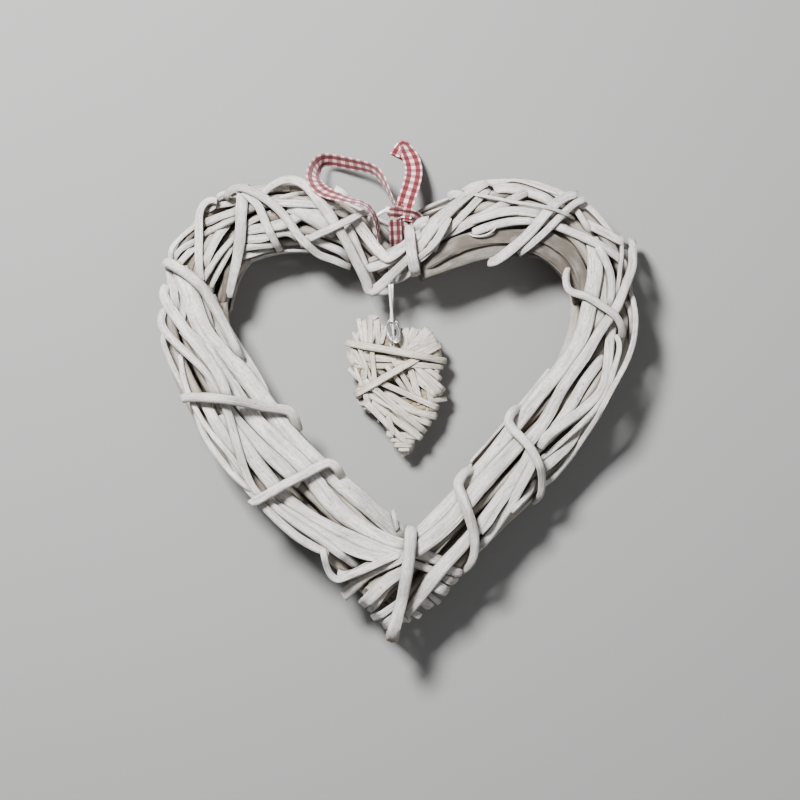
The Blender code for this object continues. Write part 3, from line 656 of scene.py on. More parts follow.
# ------------ materials
class Shader:
    """A Principled material and short ways to add nodes to it."""

    def __init__(self, name):
        self.material = bpy.data.materials.new(name)
        self.material.use_nodes = True
        self.tree = self.material.node_tree
        self.surface = self.tree.nodes["Principled BSDF"]

    def put(self, socket, value):
        if isinstance(value, bpy.types.NodeSocket):
            self.tree.links.new(value, socket)
        elif hasattr(socket.default_value, "__len__") and len(socket.default_value) == 4 and len(value) == 3:
            socket.default_value = (*value, 1.0)
        else:
            socket.default_value = value

    def node(self, kind, output=0, inputs=(), **settings):
        made = self.tree.nodes.new(kind)
        for key, value in settings.items():
            setattr(made, key, value)
        for key, value in dict(inputs).items():
            self.put(made.inputs[key], value)
        return made.outputs[output]

    def attribute(self, name, output):
        return self.node("ShaderNodeAttribute", output, attribute_name=name)

    def noise(self, vector, lengthwise, crosswise, detail=3.0, rough=0.55):
        """Noise of this many grains a metre along the vector's first axis and along its second."""
        factors = (lengthwise, crosswise, 1.0)
        vector = self.node("ShaderNodeVectorMath", 0, {0: vector, 1: factors}, operation="MULTIPLY")
        inputs = {"Vector": vector, "Scale": 1.0, "Detail": detail, "Roughness": rough}
        return self.node("ShaderNodeTexNoise", "Fac", inputs)

    def between(self, value, low, high, to_low=0.0, to_high=1.0):
        """The value, taken from one range to another and kept inside it."""
        inputs = {0: value, 1: low, 2: high, 3: to_low, 4: to_high}
        return self.node("ShaderNodeMapRange", 0, inputs)

    def maths(self, operation, first, second=0.0):
        return self.node("ShaderNodeMath", 0, {0: first, 1: second}, operation=operation)

    def times(self, first, second):
        return self.maths("MULTIPLY", first, second)

    def plus(self, first, second):
        return self.maths("ADD", first, second)

    def bump(self, strength, distance, height):
        """Fine relief, this many millimetres deep."""
        inputs = {"Strength": strength, "Distance": distance * MM, "Height": height}
        return self.node("ShaderNodeBump", "Normal", inputs)

    def mix(self, factor, first, second):
        inputs = {0: factor, 6: first, 7: second}
        return self.node("ShaderNodeMix", 2, inputs, data_type="RGBA")

    def finish(self, **sockets):
        for key, value in sockets.items():
            self.put(self.surface.inputs[key.replace("_", " ")], value)
        return self.material


# What paint and wood are multiplied by where they are yellowed, cooled, fibrous, in painted shade and
# weathered, or just cut.
YELLOWED = (1.03, 0.99, 0.90)
COOLED = (0.95, 0.965, 1.0)
FIBRE = (0.62, 0.57, 0.52)
SHADE_AND_WEATHERING = (0.60, 0.66, 0.74)
FRESH_CUT = (1.35, 1.30, 1.15)
FLECK = (0.20, 0.15, 0.10)
CREASE_SHADE_REACH = 1.6 * MM  # how near another strand has to be for the line of painted shade between them


def mixed(colour, factors):
    """A colour taken a little darker, lighter or towards one hue."""
    return tuple(c * f for c, f in zip(colour, factors))


def willow(name, paint, worn, wood, gap_reach, wear, gap_shade_and_bare_share):
    """Chalky white paint over bark: streaks along it, bare wood in places, brown bare wood and painted shade
    in the gaps.
    """
    s = Shader(name)
    grain = s.attribute("grain", "Vector")
    cut = s.attribute("cut", "Fac")
    tone = s.attribute("tone", "Fac")
    streaks, fibres, blotches, tints, chalk, flecks = (s.noise(grain, *row) for row in (
        (40, 750, 5, 0.62), (110, 2400, 3, 0.6), (60, 130, 3, 0.6), (22, 40, 2, 0.5), (420, 950, 4, 0.65),
        (300, 1300, 2, 0.5)))
    gap, crease_shade = (s.node("ShaderNodeAmbientOcclusion", "AO", {"Distance": reach}, samples=samples)
                 for reach, samples in ((gap_reach, 6), (CREASE_SHADE_REACH, 5)))
    thin = s.times(s.between(streaks, 0.56, 0.72), s.between(blotches, 0.46, 0.66))
    # painted shade in the gaps, where little open air reaches, over the bare wood that the paint missed there
    gap_shade_and_bare_wood = s.maths("SUBTRACT", 1.0, s.between(gap, 0.16, 0.72))
    gap_shade_and_bare_wood = s.times(gap_shade_and_bare_wood, s.between(blotches, 0.25, 0.65, 0.65, 1.0))
    # painted shade and weathering on strands whose tone is raised past 1, mottled by the blotches
    shade_and_weathering = s.times(s.between(tone, 1.0, 2.0, 0.0, 0.97), s.between(blotches, 0.35, 0.60, 0.78, 1.0))
    colour = paint
    for share, shade in (
            (s.between(tone, 0.0, 1.0, 0.0, 0.42), worn),
            (s.between(tints, 0.50, 0.72, 0.0, 0.55), mixed(paint, YELLOWED)),
            (s.between(tints, 0.48, 0.30, 0.0, 0.55), mixed(paint, COOLED)),
            (s.between(blotches, 0.44, 0.70, 0.0, 0.60), worn),
            (s.between(streaks, 0.47, 0.62, 0.0, 0.60), worn),
            (s.between(fibres, 0.54, 0.66, 0.0, 0.50), mixed(worn, FIBRE)),
            (s.times(thin, wear), wood),
            (s.between(chalk, 0.49, 0.64, 0.0, 0.60), worn),
            (s.times(gap_shade_and_bare_wood, gap_shade_and_bare_share), wood),
            # painted shade along the creases where strands touch
            (s.between(crease_shade, 0.88, 0.45, 0.0, 0.75), wood),
            (shade_and_weathering, mixed(wood, SHADE_AND_WEATHERING)),
            (s.between(flecks, 0.67, 0.72, 0.0, 0.75), FLECK),
            (s.times(cut, s.between(blotches, 0.3, 0.6, 0.10, 0.65)), mixed(wood, FRESH_CUT))):
        colour = s.mix(share, colour, shade)
    height = s.plus(s.times(streaks, 0.8), s.times(chalk, 0.30))
    height = s.plus(s.plus(height, s.times(blotches, 0.4)), s.times(fibres, 0.5))
    height = s.maths("SUBTRACT", height, s.between(flecks, 0.66, 0.72, 0.0, 0.4))
    rough = s.between(streaks, 0.3, 0.7, 0.60, 0.88)
    return s.finish(Base_Color=colour, Roughness=rough, Normal=s.bump(1.0, 0.60, height))


def wire_look(name, noise, span, shades, bump, rough, **sockets):
    """Wire that is one shade where it is sound and another where it is scuffed."""
    s = Shader(name)
    scuffs = s.noise(s.attribute("grain", "Vector"), *noise)
    colour = s.mix(s.between(scuffs, *span), *shades)
    gloss = s.between(scuffs, 0.3, 0.7, *rough)
    return s.finish(Base_Color=colour, Roughness=gloss, Normal=s.bump(*bump, scuffs), **sockets)


CHECK = 5.6 * MM  # one red and one white stripe of the gingham
THREAD = 0.32 * MM
# Two shades of each kind of check: where no thread is red, the lengthwise, the crosswise, and both.
CHECK_SHADES = (((0.70, 0.53, 0.52), (0.84, 0.73, 0.72)), ((0.25, 0.022, 0.034), (0.15, 0.010, 0.018)),
                ((0.46, 0.16, 0.17), (0.36, 0.10, 0.11)), ((0.065, 0.0012, 0.004), (0.095, 0.003, 0.008)))


def gingham(name, strength):
    """Red and white checks: dark where both threads are red, mid where one is, and fainter crosswise."""
    s = Shader(name)
    weave = s.attribute("grain", "Vector")
    parts = s.tree.nodes.new("ShaderNodeSeparateXYZ")
    s.put(parts.inputs[0], weave)
    stripes = []
    waves = []
    for place in parts.outputs[:2]:
        phase = s.maths("FRACT", s.maths("DIVIDE", place, CHECK))
        distance = s.maths("ABSOLUTE", s.maths("SUBTRACT", phase, 0.5))
        stripes.append(s.between(distance, 0.25, 0.29, 1.0, 0.0))
        waves.append(s.maths("SINE", s.times(place, 2 * math.pi / THREAD)))
    over_under = s.between(s.times(*waves), -0.25, 0.25)
    fade = s.noise(weave, 700.0, 700.0)
    share = s.times(s.plus(fade, over_under), 0.5)
    # a strength below 1 darkens every check, as painted shade
    white, lengthwise, crosswise, dark = (
        s.mix(share, *(mixed(shade, (strength,) * 3) for shade in pair)) for pair in CHECK_SHADES)
    pale, deep = s.mix(stripes[0], white, lengthwise), s.mix(s.times(*stripes), crosswise, dark)
    colour = s.mix(stripes[1], pale, deep)
    return s.finish(Base_Color=colour, Roughness=0.85, Normal=s.bump(0.5, 0.12, over_under), Sheen_Weight=0.2)


# Each finish is a material and the name of a slot. For the willows: paint, worn paint, wood, how far a
# gap reaches, how worn the paint is, and how dark the gaps are. For the wires: the scuffs' noise, its range
# from sound to scuffed, the two shades, how strong and deep the relief is, and the roughness.
PAINTED = (willow("painted willow", (0.72, 0.70, 0.682), (0.33, 0.305, 0.275), (0.15, 0.11, 0.075),
                  6 * MM, 0.6, 0.92), "painted_willow")
# darker paint for the long rods inside the bundle: thin paint, and painted shade where they lie in its gaps
UNDER = (willow("thinly painted willow", (0.50, 0.465, 0.42), (0.27, 0.235, 0.19), (0.09, 0.065, 0.045),
                13 * MM, 0.9, 0.97), "painted_willow")
SPLIT = (willow("split willow", (0.71, 0.68, 0.625), (0.36, 0.315, 0.25), (0.17, 0.12, 0.07),
                4.5 * MM, 0.7, 0.9), "small_heart_willow")
TAN = (willow("tan split willow", (0.40, 0.32, 0.21), (0.26, 0.19, 0.11), (0.11, 0.075, 0.04),
              7 * MM, 0.8, 0.95), "small_heart_willow")
STEEL = (wire_look("grey wire", (300, 2500), (0.35, 0.65), ((0.42, 0.42, 0.415), (0.74, 0.735, 0.72)),
                   (0.3, 0.05), (0.30, 0.5), Metallic=1.0), "wire")
COATED = (wire_look("coated wire", (250, 1500, 4.0, 0.6), (0.45, 0.68),
                    ((0.86, 0.86, 0.855), (0.55, 0.55, 0.56)), (0.4, 0.1), (0.28, 0.5)), "wire")
GINGHAM = (gingham("gingham ribbon", 1.0), "ribbon")
# the gathered tie and knot, with painted shade over every check
GINGHAM_IN_SHADE = (gingham("gathered gingham ribbon", 0.55), "ribbon")


# ------------ rods of the two arms
def build(name, strands, look, finish, *nodes):
    surface = Surface()
    for strand in strands:
        grow(surface, strand, look)
    surface.piece(name, finish, nodes)


def build_packed(strand, look, finish):
    """A piece of one strand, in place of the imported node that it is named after."""
    build(f"{strand.name}_bark", [strand], look, finish, strand.name)


def build_lots(name, strands, lot, look, finish):
    """Pieces of this many strands each, numbered from 1."""
    for first in range(0, len(strands), lot):
        build(f"{name}_{first // lot + 1}", strands[first:first + lot], look, finish)


def nodes_named(part):
    return sorted(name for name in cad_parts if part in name)


ROD_PITCH = 4.0 * MM
ROD_ENDS = 2  # stations left off each end of a packed rod
ROD_SHRINK = 0.90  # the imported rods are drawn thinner, to sit under the split rods laid on them


def long_rods(pile):
    """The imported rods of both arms, one to a piece."""
    for node in nodes_named("_arm_rod_"):
        strand = read_strand(node).finer(ROD_PITCH).shorter(ROD_ENDS)
        strand.slim(ROD_SHRINK)
        pile.add(strand)
        build_packed(strand, UNDER_LOOK, UNDER)


# Where the photograph shows each winding, by the group of laid strands that it follows: half widths at its
# start, middle and end, half thickness, then points in plan, with a least height where it turns down a flank.
WOUND = {
    "right_lobe": {
        "left_lobe_strip_1": ((1.9, 2.6, 2.5), 1.1, (
            (-114, 129, 12), (-118.5, 129.5), (-123, 126), (-125, 119), (-125, 109), (-125, 98), (-124.5, 88),
            (-123.5, 79, 8))),
        "left_lobe_strip_2": ((3.2, 3.1, 2.3), 1.2, (
            (-97.5, 140, 10), (-97.2, 135.5), (-98, 123), (-98.9, 109), (-100.6, 96), (-102.6, 85),
            (-105, 75, 16), (-106.5, 70, 8))),
        "left_lobe_strip_3": ((2.2, 2.4, 2.3), 1.0, (
            (-96, 134, 14), (-91, 129.5), (-87, 125), (-84, 118), (-80, 109), (-76.6, 102.4),
            (-74.6, 98.6, 8))),
        "left_lobe_strip_5": ((2.3, 3.0, 3.2), 1.2, (
            (-86, 132, 14), (-82, 136.8), (-76, 141), (-69, 142.8), (-62, 141), (-56, 136.4), (-50, 128.6),
            (-43, 119.5), (-38, 110.5))),
        "left_binding_1": ((3.4, 3.6, 2.6), 3.3, (
            (-144.6, 90, 16), (-143.4, 90.3), (-139.5, 88.4), (-131.2, 83), (-122.2, 75), (-115.2, 64),
            (-109.2, 53), (-104, 42.5), (-100.8, 35.5, 12), (-98.2, 30.5, 5))),
        "left_binding_2": ((3.0, 3.0, 2.9), 2.9, (
            (-133.8, 5.4, 16), (-132, 5.8), (-116, 5.2), (-100, 3.2), (-84, 0), (-73, -1.6), (-68, -3),
            (-64.8, -8, 12), (-63.2, -13, 5))),
        "left_binding_3": ((3.2, 3.4, 3.2), 3.1, (
            (-91, -58, 14), (-89, -58.6), (-76, -51.3), (-60, -43.3), (-47, -36.4), (-42.5, -35.4),
            (-39.4, -37.4), (-37.4, -40.6, 12), (-36, -44.5, 5))),
        "right_lobe_strip_1": ((3.3, 3.8, 2.4), 1.4, (
            (9, 88, 20), (11, 95), (17, 106), (26, 117), (36, 127), (47, 136), (55, 141))),
        "right_lobe_strip_2": ((2.5, 3.0, 2.6), 1.2, (
            (112, 133, 12), (104, 131), (95, 124), (87, 115), (80, 107), (73, 101), (66, 95.4), (61, 92),
            (56.5, 91, 8))),
        "right_lobe_strip_3": ((2.2, 2.4, 1.9), 1.1, (
            (116, 130, 12), (110, 127), (101, 119), (94, 112), (88, 106), (82, 100.5), (76, 96, 8))),
        "right_arm_strip": ((2.6, 3.3, 3.8), 1.6, (
            (148.5, 106, 12), (147, 96), (145.5, 86), (141.3, 75), (135.3, 61), (125.3, 47), (117.3, 34),
            (110.3, 24), (105.5, 17), (100.7, 9), (92.7, -6), (84, -18), (79.5, -23))),
        "right_binding_1": ((2.0, 2.3, 2.1), 2.0, (
            (106.5, 87, 8), (104.6, 82), (104.8, 75.8), (108, 71.5), (116, 69), (126, 63), (134, 57),
            (138, 51), (139.5, 44, 8))),
        "right_binding_2": ((3.0, 2.8, 1.9), 2.7, (
            (75.5, -1.5, 8), (71, -3.3), (68.4, -9.0), (74.2, -17.2), (80.7, -24.4), (85.5, -32), (88.7, -41),
            (89.3, -50), (88.2, -56, 12), (85.5, -60, 5))),
        "right_binding_3": ((3.0, 3.2, 2.0), 2.9, (
            (46.2, -40.8, 8), (41.2, -41.6), (37.4, -47.6), (39.2, -54.6), (42.1, -63.3), (45.4, -74),
            (47.2, -84.5), (46.3, -93), (43.8, -99, 12), (40.6, -102.4, 5))),
    },
    "cleft": {
        "cleft_strip_1": ((3.2, 3.0, 2.7), 1.1, (
            (-44, 121, 8), (-41.5, 116.5), (-35, 106.5), (-29, 96), (-23, 84.5), (-19.5, 76.5), (-18.3, 73.4),
            (-15.6, 73.6), (-9, 78.7), (-3, 84), (5, 91.3), (12, 98, 8))),
        "cleft_strip_2": ((3.9, 3.3, 2.7), 1.1, (
            (-29, 120, 8), (-24, 113), (-15.5, 101.5), (-10.5, 95.5), (-7.8, 93.2), (-4.5, 94), (3, 99.5),
            (9, 104.5), (13.5, 108, 8))),
        "left_lobe_strip_6": ((2.1, 2.4, 2.3), 1.1, (
            (-17.5, 126, 14), (-21, 122.8), (-32, 116), (-46, 109), (-56, 104.5), (-61, 102, 8))),
        "left_lobe_strip_4": ((1.8, 2.9, 1.9), 1.1, (
            (-108, 131, 12), (-105, 134.8), (-100, 136.6), (-94, 135.3), (-86, 131.6), (-77, 125),
            (-68, 115.2), (-61, 105.6), (-54, 98.8), (-49, 95.2), (-42, 92.9), (-36, 90.6), (-31, 88.6, 8))),
    },
    "tip": {
        "tip_bent_strip": ((2.0, 2.3, 2.3), 1.1, (
            (-47, -88, 6), (-45.8, -95, 8), (-43, -103.5, 10), (-38.5, -107.4, 14), (-33, -106),
            (-20, -100.5), (-8, -94.6), (2, -91, 8))),
        "tip_binding": ((3.6, 3.8, 4.1), 3.4, (
            (8, -77, 5), (7.6, -80), (7.3, -84), (6.3, -94.3), (4, -109.5), (1, -124.7, 44),
            (-2.0, -135.4, 43), (-3.7, -143.6, 41))),
    },
}
TORN_END = 12.0 * MM


def wound(group, pile):
    """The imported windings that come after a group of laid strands, drawn along the courses above."""
    for node, (half_width, half_thick, plan) in WOUND.get(group, {}).items():
        strand = across_bundle(pile, node, half_width, half_thick, plan)
        strand.frayed = TORN_END * (node == "tip_binding")
        build_packed(strand, ROD_LOOK if "binding" in node else STRIP_LOOK, PAINTED)


# Split rods and strips that lie over the long rods, lowest first: half width, then points in plan.
LAID = {
    "left_side": (
        (3.4, (6, -89), (28, -97)), (2.4, (6, -96), (24, -103)), (3.1, (-145, 91), (-143, 84), (-140, 62)),
        (2.0, (-138, 88), (-135, 69), (-136, 51)), (4.2, (-119, 69), (-106, 42), (-92, 20), (-80, -5)),
        (2.7, (-126, 79), (-117, 48)),
        (5.4, (-137, 86), (-130, 70), (-121, 46), (-99, 23), (-70, -15), (-40, -44), (3, -82)),
        (4.8, (-121, 38), (-100, 5), (-85, -14), (-60, -38), (-44, -58), (-18, -78), (4, -87)),
        (3.8, (-135, 49), (-121, 32), (-113, 8), (-93, -18), (-63, -47)),
        (4.3, (-110, -6), (-83, -42), (-66, -62), (-25, -84), (6, -94)),
        (3.5, (-122, 5), (-106, -24), (-93, -50), (-81, -60), (-44, -81), (-22, -91), (-5, -94)),
        (1.8, (-146, 48), (-148, 40), (-129, 1), (-120, -21), (-99, -46), (-91, -52)),
        (1.7, (-137, 33), (-132, 10), (-120, -12), (-100, -36), (-95, -45)),
        (2.3, (-147, 61), (-148, 52), (-132, 34), (-115, 16), (-104, -12), (-92, -47), (-79, -62), (-42, -87),
         (-24, -101)),
        (3.0, (-146, 76), (-147, 69), (-116, 27), (-106, 5)),
        (2.4, (-90, -56), (-82, -64), (-64, -80), (-44, -91)),
    ),
    "left_lobe": (
        (2.0, (-111, 66), (-106.5, 89)), (5.0, (-68, 126), (-48, 116), (-39, 109)),
        (1.7, (-98, 94), (-78, 100)), (2.4, (-98, 100), (-76, 103)),
        (2.5, (-96, 105), (-84, 106), (-70, 109), (-64, 106)), (3.1, (-95, 110), (-70, 115), (-63, 119)),
        (1.7, (-118, 76), (-102, 105)), (1.8, (-122, 79), (-111, 97), (-102, 107)),
        (2.4, (-122, 88), (-113, 107), (-107, 114)), (1.7, (-122, 108), (-102, 118)),
        (2.4, (-123, 116), (-102, 122)), (1.9, (-122, 125), (-101, 129)), (1.7, (-95, 114), (-80, 122)),
        (1.5, (-74, 131), (-58, 135)), (1.7, (-94, 136), (-69, 138)), (2.1, (-77, 128), (-38, 125)),
        (2.0, (-138, 89), (-128, 101)), (1.8, (-141, 93), (-136, 99), (-128, 104)),
        (1.5, (-143, 93), (-142, 100), (-126, 115)),
        (1.4, (-127, 114), (-122, 128), (-115, 127), (-121, 123)),
        (1.3, (-115, 129), (-111, 134), (-87, 127)),
    ),
    "tip_stubs": (
        (1.9, (0, -132), (7, -134)), (1.9, (6, -126), (13, -131)), (1.9, (17, -117), (26, -124)),
        (2.9, (12, -118), (20, -126)), (3.4, (20, -110), (30, -116)), (2.3, (27, -105), (36, -110)),
        (2.4, (28, -100), (39, -104)),
    ),
    "right_side": (
        (4.0, (15, 85), (45, 95)), (3.6, (16, 90), (28, 98), (45, 105)),
        (4.6, (14, 84), (40, 94), (62, 99), (86, 98)), (4.5, (16, 89), (44, 104), (71, 107), (90, 105)),
        (3.9, (70, 101.5), (78, 102), (88, 99), (100, 91), (109, 79), (113, 66)),
        (4.1, (79.5, 107.6), (85, 108), (93, 106), (108, 95), (115, 82), (118, 67)),
        (2.9, (126, 92), (128, 74), (127, 64), (121, 47)),
        (4.5, (121, 105), (123, 89), (118, 60), (111, 38), (77, -6), (50, -41), (6, -87)),
        (3.2, (114, -9), (105, -25), (90, -39)), (3.2, (128, 31), (115, 13), (98, -13), (89, -19)),
        (4.6, (78, -20), (50, -50), (28, -75), (9, -90)),
        (1.8, (102, 131), (111, 130), (126, 119), (137, 106), (147, 101)),
        (2.6, (46, 108.5), (56, 112.5), (69, 115.5), (83, 116), (106, 110), (140, 91), (143, 84)),
        (2.2, (124, 100), (132, 83), (132, 63)),
        (3.5, (84, -24), (76, -41), (62, -58.5), (44, -81.5), (29, -97.5), (14.3, -117), (4, -130)),
        (2.6, (85, -33), (68, -64), (52, -87)), (1.6, (85, -46), (81, -54), (71, -65)),
        (1.4, (69, -55), (52, -78)), (2.1, (143, 66), (146.5, 54), (147.3, 40)),
        (3.0, (134, 53), (130, 22), (122, 4), (95, -17), (88, -25)),
        (1.6, (136, 45), (138, 37), (134, 22), (129, 7), (90, -32)),
        (1.7, (145, 72), (147.6, 61), (146, 37), (133, 11), (120, -13), (98, -43), (91, -49)),
        (1.1, (141, 108), (136, 69)),
    ),
    "right_lobe": (
        (2.4, (41, 136), (49, 140), (87, 139), (107, 130), (117, 126)),
        (1.0, (67, 142), (73, 143), (101, 133)), (3.0, (61, 137), (71, 137), (91, 131), (97, 127)),
        (2.5, (27, 106), (80.5, 134.5)), (2.5, (46, 116), (71, 122), (91, 119)), (2.0, (26, 105), (57, 138)),
        (2.5, (118, 116), (141, 103)), (1.8, (110, 125), (120, 110)), (2.5, (32, 133), (36, 135), (41, 134)),
        (2.0, (30, 118), (22, 97)), (1.8, (12, 94), (27, 106)),
        (0.5, (44, 108), (46, 106.8), (51, 106.4), (57, 108.8), (61, 113), (62.5, 115.5)),
    ),
    "cleft": (
        (1.8, (-62, 106), (-50, 96.5), (-42, 94.5), (-36, 93)), (2.2, (-58, 106), (-38, 98), (-30, 92)),
        (2.5, (-33.5, 117.5), (-16, 77)), (2.9, (7, 102), (13, 114), (18, 116)), (2.2, (-17, 72), (-6, 74)),
        (2.2, (-4, 80), (3, 82), (11, 88)), (1.8, (-18, 120), (-12, 104)),
        (2.6, (-19, 87), (-3, 93), (5, 101)), (2.2, (12, 91), (20, 98), (31, 116)),
        (2.4, (-40, 138), (-33, 133)),
    ),
    "cleft_wrap": (
        (1.7, (12, 93), (25, 105), (31.5, 117)), (2.9, (6.6, 112), (8, 97), (10.8, 83)),
        (1.1, (48, 134), (77, 126.8), (95, 123.4), (110, 118)),
    ),
    "tip": (
        (3.4, (3, -129), (-9, -138)), (2.3, (1, -108), (-5, -110), (-18, -129)),
        (2.3, (4, -119), (-16, -133)), (3.5, (6, -99), (-6, -107), (-23, -124, 24)),
        (3.3, (6, -92), (-19, -105, 26), (-34, -119, 29)),
        (2.9, (-38, -104), (-32, -105), (-12, -96), (-5, -94)), (1.4, (-1, -77), (-2.4, -71), (-3.3, -66.2)),
    ),
}
STRANDS_A_PIECE = 6
WIDER = 1.06
TUCK_DEPTH = 1.5  # how far its ends go in, in half thicknesses, and over what length
TUCK_ENDS = 6.0 * MM
DIM = {"left_lobe": 1, "right_side": 6}  # the first rows of a group, drawn darker as painted shade and weathering
DIM_SHADE = 2.0


def laid(group, pile):
    """The strands laid over one part of the bundle, a few to a piece."""
    strands = []
    for i, (half_width, *plan) in enumerate(LAID[group]):
        strand = over(pile, f"{group}_{i}", WIDER * half_width, plan)
        strand.shade = DIM_SHADE * (i < DIM.get(group, 0))
        if "tip" not in group:
            tuck(strand, (TUCK_DEPTH * strand.half_thick.max(),) * 2, TUCK_ENDS)
        strands.append(strand)
    build_lots(f"{group}_split_rods", strands, STRANDS_A_PIECE, LAID_LOOK, PAINTED)


BACK_STRANDS = 16
BACK_ROW = 5  # strands from one end of an arm to the other, and the share of it between two
BACK_STEP = 0.19
BACK_ANGLES = (195, 150)  # degrees round the arm at which the underside begins, and how many it spans
BACK_SPREAD = 0.382  # the share of those by which each strand is set on from the last
BACK_THICK = 1.1


def underside(pile):
    """Plainer split rods along the back and flanks of each arm, where the photograph doesn't show them."""
    for side in ARMS:
        rng = seeded(f"{side} underside")
        strands = []
        for i in range(BACK_STRANDS):
            start = (i % BACK_ROW) * BACK_STEP + rng.uniform(0.0, 0.06)
            reach = rng.uniform(0.18, 0.30)
            angle = BACK_ANGLES[0] + BACK_ANGLES[1] * ((i * BACK_SPREAD) % 1.0)
            drift = rng.uniform(-34, 34)
            width = rng.uniform(1.8, 3.4)
            middle, end = start + reach / 2, min(start + reach, 0.99)
            places = ((angle, start), (angle + 0.6 * drift, middle), (angle + drift, end))
            strands.append(wind(pile, f"{side}_back_{i}", side, width, BACK_THICK, places))
        build(f"{side}_arm_back_rods", strands, LAID_LOOK, PAINTED)


# ------------ the small heart
# Strips drawn across the front of the small heart, lowest first: half width, both ends in plan, and which
# ends are cut short instead of turned under the edge.
SMALL_STRIPS = (
    (2.7, (3.9, -25), (4.2, -31), "ab"), (1.7, (0.6, -26.6), (6.2, -26.8), "ab"),
    (1.8, (-1.6, -23.8), (8.4, -24.2), ""), (1.9, (-3.6, -20.6), (10.6, -21.6), ""),
    (2.0, (-5.4, -17.2), (13.2, -18.8), ""), (1.2, (-30, 49), (-16, 24), ""),
    (2.0, (-32, 32), (-17, 25), "a"), (1.9, (-16, 26), (7, 26), "b"), (2.1, (-16, 31), (4, 30), "b"),
    (3.4, (10, 20), (26, 7), ""), (1.7, (15, 26), (26.5, 17.5), ""), (3.0, (10.4, 49.0), (5.2, 36), "ab"),
    (3.1, (3.5, 51.5), (4.5, 35), "b"), (2.2, (-1.5, 50), (3, 36), "b"), (2.8, (21, 42.8), (6, 35), "b"),
    (2.9, (16, 45.6), (5, 35.5), "b"), (2.4, (24, 38.6), (8, 33.5), "b"),
    (2.3, (26.8, 34.2), (11, 31.5), "b"), (1.9, (-11, 54), (-13, 37), "b"),
    (1.9, (-14.5, 58), (-12, 36), "ab"), (1.7, (-25.5, 56), (-20.5, 35), "ab"),
    (1.7, (-22, 55), (-19.5, 35), "ab"), (1.6, (-18, 58), (-18, 35), "ab"), (1.4, (-7, 53), (-11, 40), "b"),
    (1.3, (-29, 37), (-16, 17), "a"), (1.2, (-24, 35), (-16, 13), ""), (1.2, (-27, 24), (-22, 11), "ab"),
    (1.0, (-20, 26), (-22, 11), "ab"), (2.1, (7, 26), (14, 2), "b"), (1.6, (-3, 20), (8, 6), "b"),
    (1.6, (0, 24), (10, 7), "b"), (1.8, (7, 29), (27, 12), ""), (1.8, (11, 26), (26.5, 8), ""),
    (1.7, (-18, 7), (-5, 0), "b"), (1.8, (-21, 8), (-17.5, -3.2), "ab"), (1.8, (-3, 6), (21, -9), ""),
    (2.0, (7, -2), (22, -6), ""), (1.8, (4, -5), (21, -11), ""), (1.8, (-3, -1), (17, -16), ""),
    (1.9, (-13, 16), (26, -1), ""), (2.0, (-17, 13), (16, -15), ""), (2.1, (-17, 2.6), (13, -19), "a"),
    (1.9, (-15, -3), (-1, -17), ""), (1.6, (-7, -6), (-3, -17), "ab"), (1.9, (4, 27), (30, 25.5), ""),
    (1.5, (-17, 37), (-14.5, 11), "ab"), (1.6, (22, 4), (30, 5), "ab"), (1.5, (-14, 56), (-17, 57), "ab"),
    (1.5, (-32, 35), (-29, 26), "ab"),
)
SMALL_LOT = 12
# Its two outer wraps, drawn over the strips: as above, then the side (1 is the front) and the half thickness.
SMALL_WRAPS = {
    "small_heart_band_5": (2.0, (-27, 8), (25, 38.5), "a", 1.0, 1.1),
    "small_heart_band_6": (2.2, (-32.6, 40.8), (27.8, 29.3), "a", 1.0, 1.7),
}
SMALL_BACK_ROWS = 15
SMALL_INNER_ROWS = 13
SMALL_FROM = 0.06  # how far down the frame the rows begin, and the share of it that they span
SMALL_SPAN = 0.76
SMALL_ROW_THICK = 0.5
# To follow the photograph, the small heart's frame is moved across at heights from tip to top, moved down
# between the heights of DROP_SPAN, and made thinner by SLIM from the top of SLIM_SPAN to its bottom.
SMALL_HEIGHTS = (-31, -24, -8, 10, 28, 40, 50)
SMALL_SHIFTS = {"left": (2.9, 2.9, 2.2, 3.8, 1.4, 0, 0), "right": (0.4, 0.8, 3.8, 3.0, 0.8, -0.4, 0)}
SMALL_DROPS = {"left": 0.0, "right": 6.8}
DROP_SPAN = (36, 46)
SLIM_SPAN = (-20, -6)
SLIM = 0.42


def small_frame(node):
    """A rod of the small heart's frame, moved in plan and slimmer towards the tip."""
    strand = read_strand(node)
    hand = node.rsplit("_", 1)[1]
    height = (strand.points[:, 1] - PLAN_SHIFT[1]) / MM
    strand.points[:, 0] += np.interp(height, SMALL_HEIGHTS, SMALL_SHIFTS[hand]) * MM
    strand.points[:, 1] -= SMALL_DROPS[hand] * MM * np.interp(height, DROP_SPAN, (0, 1))
    strand.slim(1 - SLIM * np.interp(height, SLIM_SPAN, (1, 0)))
    return strand


def small_rows(pile, kind, count, half_widths, lean, facing, rods, inset=-2.2, cut=""):
    """Strips from one side of the small heart to the other, from its cleft to above its tip."""
    rng = seeded(f"small heart {kind}")
    strips = []
    for i in range(count):
        share = SMALL_FROM + SMALL_SPAN * (i + 0.5) / count
        ends = []
        for rod in rods:
            place = int(np.clip(share + rng.uniform(-lean, lean), 0.03, 0.98) * (len(rod) - 1))
            ends.append((rod[place] - PLAN_SHIFT)[:2] / MM)
        inward = unit(ends[1] - ends[0]) * inset
        row = (rng.uniform(*half_widths), ends[0] + inward, ends[1] - inward, cut, facing, SMALL_ROW_THICK)
        strips.append(heart_strip(pile, f"small_{kind}_{i}", *row))
    return strips


